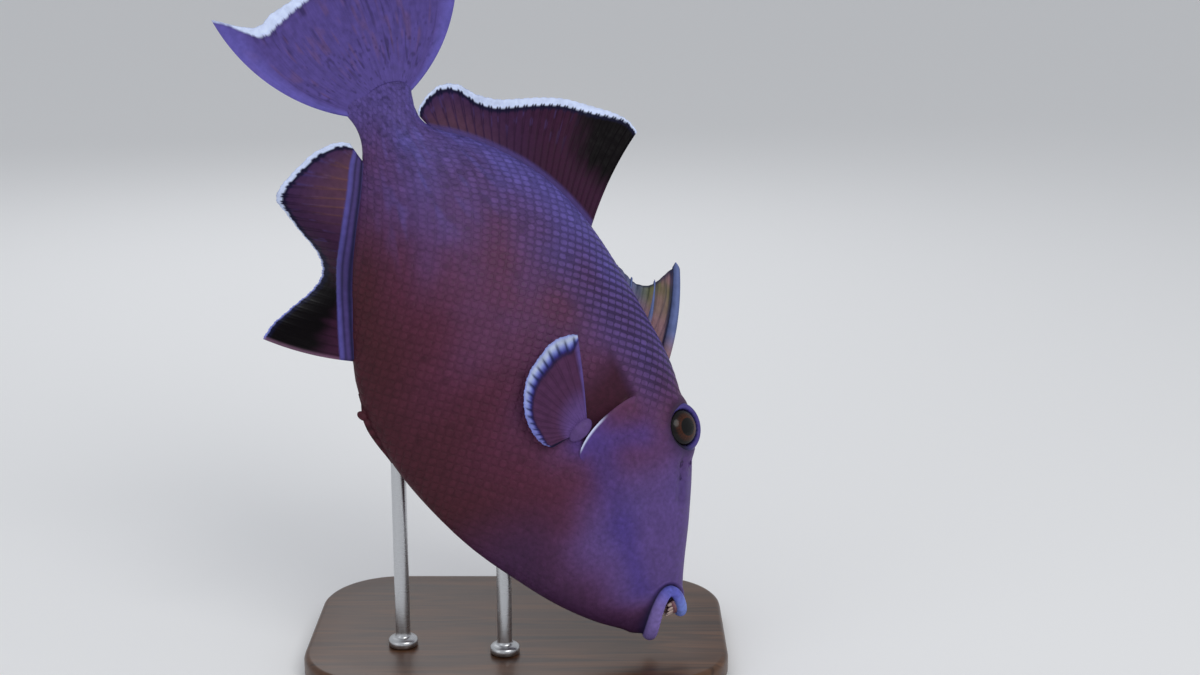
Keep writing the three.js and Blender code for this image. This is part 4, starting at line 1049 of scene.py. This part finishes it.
def build_gill_edge(side, name):
    along = np.array([-math.sin(GILL_LEAN), 0, math.cos(GILL_LEAN)])
    back = np.array([-math.cos(GILL_LEAN), 0, -math.sin(GILL_LEAN)])

    def surface(u, v):
        reach = GILL_EDGE["reach"] * np.clip(np.sin(math.pi * np.clip(u, 0, 1) ** 0.8), 0, 1) ** 0.7
        p = np.array([-GILL_STATION, 0, 0]) + along * (GILL_EDGE["middle"] + (u - 0.5) * GILL_EDGE["length"])[..., None]
        p = p + back * (v * (GILL_EDGE["root"] + reach) - GILL_EDGE["root"])[..., None]
        s, h = -p[..., 0], p[..., 2]
        y = width_at_height(s, h)
        lift = 0.5 * np.sin(math.pi * u) + 0.9 * v * np.sin(math.pi * u)
        return np.stack([p[..., 0], side * (y + lift - 0.3 * (1 - v)), h], -1)

    def half(u, v):
        return 0.12 + 0.5 * ease(1.0, 0.8, v) * ease(0, 0.08, u) * ease(1, 0.92, u)

    def tint(u, v):
        p = surface(u, v)
        # The flap is painted lighter towards its free edge in its lower part, a painted sheen, and its rim is painted
        # white, a painted highlight where it catches the light.
        c = mix(body_tint(p, gill=0), C["cheek_sheen"] * 1.25, 0.5 * ease(0.2, 0.9, v) * ease(0.75, 0.3, u))
        return mix(c, C["gill_edge"], ease(0.86, 0.97, v) * ease(0.62, 0.4, u) * ease(0.02, 0.12, u) * 0.9)

    plate(name, surface, half, tint, 60, 22, SKIN, slot="skin_head")


build_gill_edge(-1, "gill_edge_right")
build_gill_edge(1, "gill_edge_left")


# Eyes


EYE_COLUMNS = 96
PUPIL, IRIS_RING, IRIS_EDGE = 4.7, 5.3, 6.4  # radii
LID_RIM = [(9.0, 0.6), (9.4, 2.6), (9.9, 3.9), (10.8, 4.7), (12.0, 4.6), (13.2, 3.4), (14.2, 1.2), (15.4, -1.6),
           (17.0, -4.6), (18.4, -8)]  # the eyelid's rim, as radius and height from the eye's centre


def build_eye(side, name, node):
    centre, out = eye_axes(side)
    across = unit(np.cross(np.array([0.0, 0, 1]), out))
    upward = np.cross(out, across)

    def round_eye(turn, r, d):
        """Points at a radius from the eye's axis and a height along it."""
        aside = across * np.cos(turn)[..., None] + upward * np.sin(turn)[..., None]
        return centre + out * d[..., None] + aside * r[..., None]

    theta, phi = sphere_angles(72, EYE_COLUMNS)
    r, d = EYE["radius"] * np.sin(theta), EYE["depth"] * np.cos(theta) + EYE["out"]
    ball = round_eye(phi, r, d)
    streak = 0.5 + 0.5 * np.sin(phi * 37 + 2 * np.sin(phi * 11))
    iris = mix(rgb(24, 9, 7), rgb(74, 34, 15), streak * 0.5 + 0.2)
    iris = mix(iris, rgb(10, 6, 9), ease(IRIS_EDGE, IRIS_EDGE + 2, r))
    iris = mix(iris, rgb(88, 44, 22), bump(r, IRIS_RING, 0.35) * 0.35)
    colour = mix(np.full(3, 0.002), iris, ease(PUPIL, PUPIL + 0.4, r))
    colour = np.where((theta > math.pi / 2)[..., None], rgb(26, 22, 40), colour)
    make(name, ball.reshape(-1, 3), [grid_faces(72, EYE_COLUMNS, closed=True, flip=True)], EYE_BALL,
         colour.reshape(-1, 3), replaces=(node,), slot="eye")
    profile = np.array(LID_RIM)
    keys = np.linspace(0, 1, len(profile))
    t = np.linspace(0, 1, 40)
    r = smooth_through(np.stack([keys, profile[:, 0]], 1))(t)
    d = smooth_through(np.stack([keys, profile[:, 1]], 1))(t)
    turn = turns(EYE_COLUMNS)
    wrinkle = 0.14 * np.sin(turn[None] * 24 + 1.5 * np.sin(turn[None] * 5)) * ease(0.45, 0.2, t)[:, None]
    ring = round_eye(turn[None], r[:, None] + wrinkle, d[:, None] + wrinkle * 0.6)
    # The lid is violet on its upper side, with a lighter band along the crest of its rim, a painted highlight; its
    # lower side and its inner edge against the eye are painted dark, painted shade.
    upper = ease(-0.75, 0.25, np.sin(turn))[None] * ease(0.12, 0.3, t)[:, None]
    colour = mix(C["shade_dark"] * 0.9, C["lid"], upper)
    colour = mix(colour, C["violet"], 0.5 * upper * bump(t, 0.36, 0.08)[:, None])
    colour = mix(colour, body_tint(ring + out * 2), ease(0.5, 0.8, t)[:, None] * np.ones((1, EYE_COLUMNS)))
    make(name.replace("eye", "eyelid"), ring.reshape(-1, 3), [grid_faces(40, EYE_COLUMNS, closed=True)], LID,
         colour.reshape(-1, 3), slot="skin_head")


build_eye(-1, "eye_ball_right", "eye_right")
build_eye(1, "eye_ball_left", "eye_left")


# Nostrils: two small rims before each eye


NOSTRILS = dict(stations=(71.0, 75.5), height=49.5, columns=24, rim=[
    (0.05, -0.9), (0.7, -0.6), (1.0, 0.5), (1.4, 0.85), (1.9, 0.5), (2.5, -0.6), (3.0, -1.6)])


def build_nostrils():
    h, columns, profile = NOSTRILS["height"], NOSTRILS["columns"], NOSTRILS["rim"]
    points, faces, tints = [], [], []
    start = 0
    for side in (-1, 1):
        for s in NOSTRILS["stations"]:
            y = width_at_height(s, h)
            place = np.array([-s, side * y, h])
            out = unit(np.array([0.25, side * 0.78, 0.55]))
            a = unit(np.cross(out, [0, 0, 1.0]))
            b = np.cross(out, a)
            turn = turns(columns)
            for r, d in profile:
                points.append(place + out * d + (a * np.cos(turn)[:, None] + b * np.sin(turn)[:, None]) * r)
                base = body_tint(place[None])[0]
                # Painted shade inside each nostril.
                tints.append(np.tile(mix(C["shade_dark"], base, ease(0.7, 1.3, r)), (columns, 1)))
            faces.append(grid_faces(len(profile), columns, start=start, closed=True, flip=side < 0))
            start += len(profile) * columns
    make("nostrils", np.concatenate(points), faces, SKIN, np.concatenate(tints), slot="skin_head")


build_nostrils()


# Teeth


ARCH_TURN = math.radians(78)
TEETH_A_ROW = 8
GUM_ROWS, TOOTH_ROWS, TOOTH_COLUMNS = 33, 13, 16


def build_teeth(upper):
    sign = 1 if upper else -1
    front, height, rise, length = (-2.6, 8.0, 0.5, 6.4) if upper else (-1.6, -6.6, 4.6, 5.0)

    def place_at(share):
        turn = ARCH_TURN * share
        back = 1 - np.cos(turn)
        return np.stack([front - 8.5 * back, 6.4 * np.sin(turn), height + rise * back], -1)

    arch = place_at(np.linspace(-1, 1, GUM_ROWS))
    turn = turns(TOOTH_COLUMNS)
    along = unit(np.gradient(arch, axis=0))
    up = np.array([0.0, 0, 1])
    side = unit(np.cross(along, up))
    ring = arch[:, None] + (np.cos(turn)[None, :, None] * side[:, None] + np.sin(turn)[None, :, None] * up) * 1.7
    points = [ring.reshape(-1, 3)]
    tints = [np.tile(C["gum"], (GUM_ROWS * TOOTH_COLUMNS, 1))]
    faces = [grid_faces(GUM_ROWS, TOOTH_COLUMNS, closed=True)]
    start = GUM_ROWS * TOOTH_COLUMNS
    theta, phi = sphere_angles(TOOTH_ROWS, TOOTH_COLUMNS)
    for i in range(TEETH_A_ROW):
        share = -1 + (2 * i + 1) / TEETH_A_ROW
        middle = place_at(np.array(share))
        tall = length * (1 - 0.45 * abs(share)) + 1
        a = ARCH_TURN * share * 0.9
        x = squared(np.cos(phi), 0.6) * np.sin(theta) ** 0.5
        y = squared(np.sin(phi), 0.6) * np.sin(theta) ** 0.5
        z = np.cos(theta)
        taper = 0.78 - 0.18 * z
        local = np.stack([x * 0.95 * taper, y * 1.45 * taper, -sign * (z * 0.5 + 0.5) * tall + sign], -1)
        c, n = math.cos(a), math.sin(a)
        x, y, z_up = local[..., 0], local[..., 1], local[..., 2]
        local = np.stack([x * c - y * n, x * n + y * c, z_up], -1)
        points.append((local + middle).reshape(-1, 3))
        shade = mix(C["tooth"], C["gum"], ease(0.2, -0.4, z) * 0.5)
        tints.append(shade.reshape(-1, 3))
        faces.append(grid_faces(TOOTH_ROWS, TOOTH_COLUMNS, start=start, closed=True, flip=not upper))
        start += TOOTH_ROWS * TOOTH_COLUMNS
    name = "teeth_top" if upper else "teeth_bottom"
    make(name, np.concatenate(points), faces, ENAMEL, np.concatenate(tints),
         replaces=("teeth_upper" if upper else "teeth_lower",), slot="teeth")


build_teeth(True)
build_teeth(False)


# The flap and blunt knob under the belly


FLAP = dict(front=148, length=40, tall=2.6, knob_at=0.72, knob_size=(3.3, 1.76, 2.2), knob_tilt=-0.5)


def build_pelvic():
    def surface(u, v):
        s = FLAP["front"] + FLAP["length"] * u
        tall = FLAP["tall"] * (np.sin(math.pi * np.minimum(u * 1.15, 1) ** 1.4) * 0.9 + 0.12)
        along = -FIN_SINK + v * (tall + FIN_SINK)
        return np.stack([-s - along * 0.35, 0.15 * np.sin(u * 30) * v, belly_at(s) - along], -1)

    def half(u, v):
        fold = 0.3 * (0.5 + 0.5 * np.sin(u * 44))
        return 0.15 + (1.3 * (1 - 0.55 * v) + fold) * ease(1, 0.85, v) * ease(0, 0.06, u) * ease(1, 0.94, u)

    def tint(u, v):
        p = surface(u, v)
        # Painted light and shade on the folds: lighter on their crests, darker in the troughs between.
        return body_tint(p) * (0.8 + 0.3 * np.sin(u * 44))[..., None]

    plate("belly_flap", surface, half, tint, 90, 26, SKIN, replaces=("pelvic_flap",), slot="skin_trunk")
    theta, phi = sphere_angles(20, 28)
    ball = np.stack([np.sin(theta) * np.cos(phi), np.sin(theta) * np.sin(phi), np.cos(theta)], -1)
    ball = ball * np.array(FLAP["knob_size"])
    ball = ball * (1 + 0.05 * np.sin(phi * 9) * np.sin(theta))[..., None]
    s = FLAP["front"] + FLAP["length"] * FLAP["knob_at"]
    ball = pitched(ball, FLAP["knob_tilt"]) + np.array([-s, 0, float(belly_at(s)) - 1.56])
    # Painted highlight: the knob is a tenth lighter than the body's colour round it.
    tints = body_tint(ball) * 1.1
    make("belly_knob", ball.reshape(-1, 3), [grid_faces(20, 28, closed=True, flip=True)], SKIN, tints.reshape(-1, 3),
         slot="skin_trunk")


build_pelvic()


# Stand


def wood():
    m, shader, place = principled("stand_walnut", {"Specular IOR Level": 0.3, "Coat Weight": 0.12,
                                                   "Coat Roughness": 0.25})
    stretch = chain(m, "Mapping", place, "Vector", {"Scale": (3, 38, 38)})
    grain = chain(m, "TexNoise", stretch, "Vector", {"Scale": 3.2, "Detail": 8, "Distortion": 1.4})
    ramp = m.node_tree.nodes.new("ShaderNodeValToRGB")
    ends = [(0.32, (0.03, 0.012, 0.006, 1)), (0.7, (0.125, 0.056, 0.027, 1))]
    for element, (position, colour) in zip(ramp.color_ramp.elements, ends):
        element.position, element.color = position, colour
    m.node_tree.links.new(grain, ramp.inputs[0])
    m.node_tree.links.new(ramp.outputs[0], shader.inputs["Base Color"])
    chain(m, "MapRange", grain, "Value", {"To Min": 0.28, "To Max": 0.46}, shader.inputs["Roughness"])
    chain(m, "Bump", grain, "Height", {"Strength": 0.15, "Distance": 0.0005}, shader.inputs["Normal"])
    return m


def steel():
    m, shader, place = principled("stand_steel", {"Base Color": (0.56, 0.57, 0.59, 1), "Metallic": 1.0})
    stretch = chain(m, "Mapping", place, "Vector", {"Scale": (60, 60, 2600)})
    brush = chain(m, "TexNoise", stretch, "Vector", {"Scale": 1.0, "Detail": 3})
    chain(m, "MapRange", brush, "Value", {"To Min": 0.2, "To Max": 0.38}, shader.inputs["Roughness"])
    chain(m, "Bump", brush, "Height", {"Strength": 0.06, "Distance": 0.0002}, shader.inputs["Normal"])
    return m


WOOD, STEEL = wood(), steel()


BASE = dict(length=230.0, depth=150.0, corner=42.0, profile=[(2.0, 0), (0.6, 0.5), (0, 1.6), (0, 9.0), (0.5, 10.6),
                                                              (1.7, 11.7), (3.2, 12)])
COLLAR = [(7.4, 12.3), (8.0, 12.9), (8.0, 15.6), (7.2, 16.6), (5.2, 17.2), (4.6, 17.5), (4.0, 18.4)]
ROD_RADIUS, ROD_COLUMNS = 4, 48


def build_base():
    """A flat base with well rounded corners and eased edges."""
    x, y, r = BASE["length"] / 2, BASE["depth"] / 2, BASE["corner"]
    outline = []
    for cx, cy, a0 in ((x - r, y - r, 0), (-x + r, y - r, 90), (-x + r, -y + r, 180), (x - r, -y + r, 270)):
        for a in np.radians(np.linspace(a0, a0 + 90, 25)):
            outline.append((cx, cy, math.cos(a), math.sin(a)))
    outline = np.array(outline)
    rings = []
    for inset, z in BASE["profile"]:
        edge = outline[:, :2] + outline[:, 2:] * (r - inset)
        rings.append(np.column_stack([edge, np.full(len(outline), z)]))
    rim = rings[-1]
    rings += [rim * np.array([share, share, 1]) for share in (0.85, 0.5, 0.15)]
    n = len(outline)
    points = np.concatenate(rings) / 1000
    around = np.arange(n)
    faces = [grid_faces(len(rings), n, closed=True), around[::-1][None], (around + (len(rings) - 1) * n)[None]]
    make("base_plate", points, faces, WOOD, in_fish=False, replaces=("stand_base",), slot="stand_wood")


def build_rod(x, y, name, node):
    """A rod with a turned collar, its top cut to the fish's skin."""
    turn = turns(ROD_COLUMNS)

    def circle(r, z):
        return np.stack([x + r * np.cos(turn), y + r * np.sin(turn), z * np.ones(ROD_COLUMNS)], 1)

    rings = [circle(r, z) for r, z in COLLAR]
    foot = COLLAR[-1][1]
    tops = np.array([skin_above(px, py) for px, py, _ in rings[-1]])
    rings += [circle(ROD_RADIUS, foot + (tops - foot) * share) for share in (0.02, 0.25, 0.5, 0.75, 0.98, 1.0)]
    points = np.concatenate([*rings, [[x, y, tops.mean()]]]) / 1000
    last = (len(rings) - 1) * ROD_COLUMNS
    j = np.arange(ROD_COLUMNS)
    cap = np.stack([last + j, last + (j + 1) % ROD_COLUMNS, np.full(ROD_COLUMNS, len(points) - 1)], 1)
    make(name, points, [grid_faces(len(rings), ROD_COLUMNS, closed=True), j[::-1][None], cap], STEEL, in_fish=False,
         replaces=(node,), slot="stand_steel")


def skin_above(x, y):
    """The height at which an upright line first meets the plain body, in millimetres over the floor."""
    start = (np.array([x, y, 0]) - SNOUT_PLACE) @ POSE
    step = np.array([0, 0, 1.0]) @ POSE
    z = np.arange(30, 220, 0.05)
    p = start + z[:, None] * step
    s = -p[:, 0]
    inside = (s > 3) & (s < 330)
    s = np.clip(s, 3, 330)
    middle, reach, power = half_section(s, p[:, 2] >= widest_at(s))
    level = np.abs((p[:, 2] - middle) / reach) ** power + np.abs(p[:, 1] / half_width_at(s)) ** power
    hit = inside & (level < 1)
    return float(z[np.argmax(hit)]) - 0.25


build_base()
build_rod(-6.0, -38.0, "rod_front", "stand_rod_front")
build_rod(-62.0, -28.0, "rod_rear", "stand_rod_rear")


# Floor, light and camera


floor_material, _, _ = principled("pale_floor", {"Base Color": (0.86, 0.865, 0.87, 1), "Roughness": 0.7,
                                                 "Specular IOR Level": 0.25})
FLOOR = 9  # half its side, in metres
floor_mesh = bpy.data.meshes.new("floor")
floor_mesh.from_pydata([(x * FLOOR, y * FLOOR, 0) for x, y in ((-1, -1), (1, -1), (1, 1), (-1, 1))], [], [(0, 1, 2, 3)])
floor_mesh.materials.append(floor_material)
floor = bpy.data.objects.new("floor", floor_mesh)
bpy.context.scene.collection.objects.link(floor)

world = bpy.data.worlds.new("studio")
bpy.context.scene.world = world
world.use_nodes = True
set_inputs(world.node_tree.nodes["Background"], {"Color": (0.86, 0.88, 0.92, 1), "Strength": 0.62})


LIT_PLACE = (0, 0, 0.2)


def area(name, place, size, power, colour):
    light = bpy.data.lights.new(name, "AREA")
    light.shape = "DISK"
    light.size = size
    light.energy = power
    light.color = colour
    o = bpy.data.objects.new(name, light)
    bpy.context.scene.collection.objects.link(o)
    o.location = place
    o.rotation_mode = "QUATERNION"
    o.rotation_quaternion = (Vector(LIT_PLACE) - Vector(place)).to_track_quat("-Z", "Y")


area("key", (0.75, -1.15, 1.35), 1.0, 10, (1, 0.99, 0.97))
area("fill", (-1.3, -1.1, 0.7), 1.2, 2, (0.96, 0.98, 1))
area("back", (-0.3, 1.3, 1.2), 1.0, 5, (0.97, 0.98, 1))

PITCH = math.radians(14)
DISTANCE = 950.0
AIM_ASIDE, AIM_UP = -34.6, 153.9  # from the snout, across and up the picture
PIXELS_A_MM, PICTURE_WIDTH = 1.848, 1200
SENSOR = 36
right = np.array([1.0, 0, 0])
upward = np.array([0, math.sin(PITCH), math.cos(PITCH)])
backward = np.array([0, -math.cos(PITCH), math.sin(PITCH)])
eye_point = (SNOUT_PLACE + AIM_ASIDE * right + AIM_UP * upward + DISTANCE * backward) / 1000
camera = bpy.data.cameras.new("camera")
camera.sensor_width = SENSOR
camera.lens = SENSOR * DISTANCE * PIXELS_A_MM / PICTURE_WIDTH
camera.clip_start = 0.05
camera.clip_end = 60
camera_object = bpy.data.objects.new("camera", camera)
bpy.context.scene.collection.objects.link(camera_object)
turn = Matrix([[right[i], upward[i], backward[i]] for i in range(3)]).to_4x4()
camera_object.matrix_world = Matrix.Translation(Vector(eye_point)) @ turn
bpy.context.scene.camera = camera_object
bpy.context.scene.view_settings.view_transform = "Standard"

bpy.context.view_layer.update()
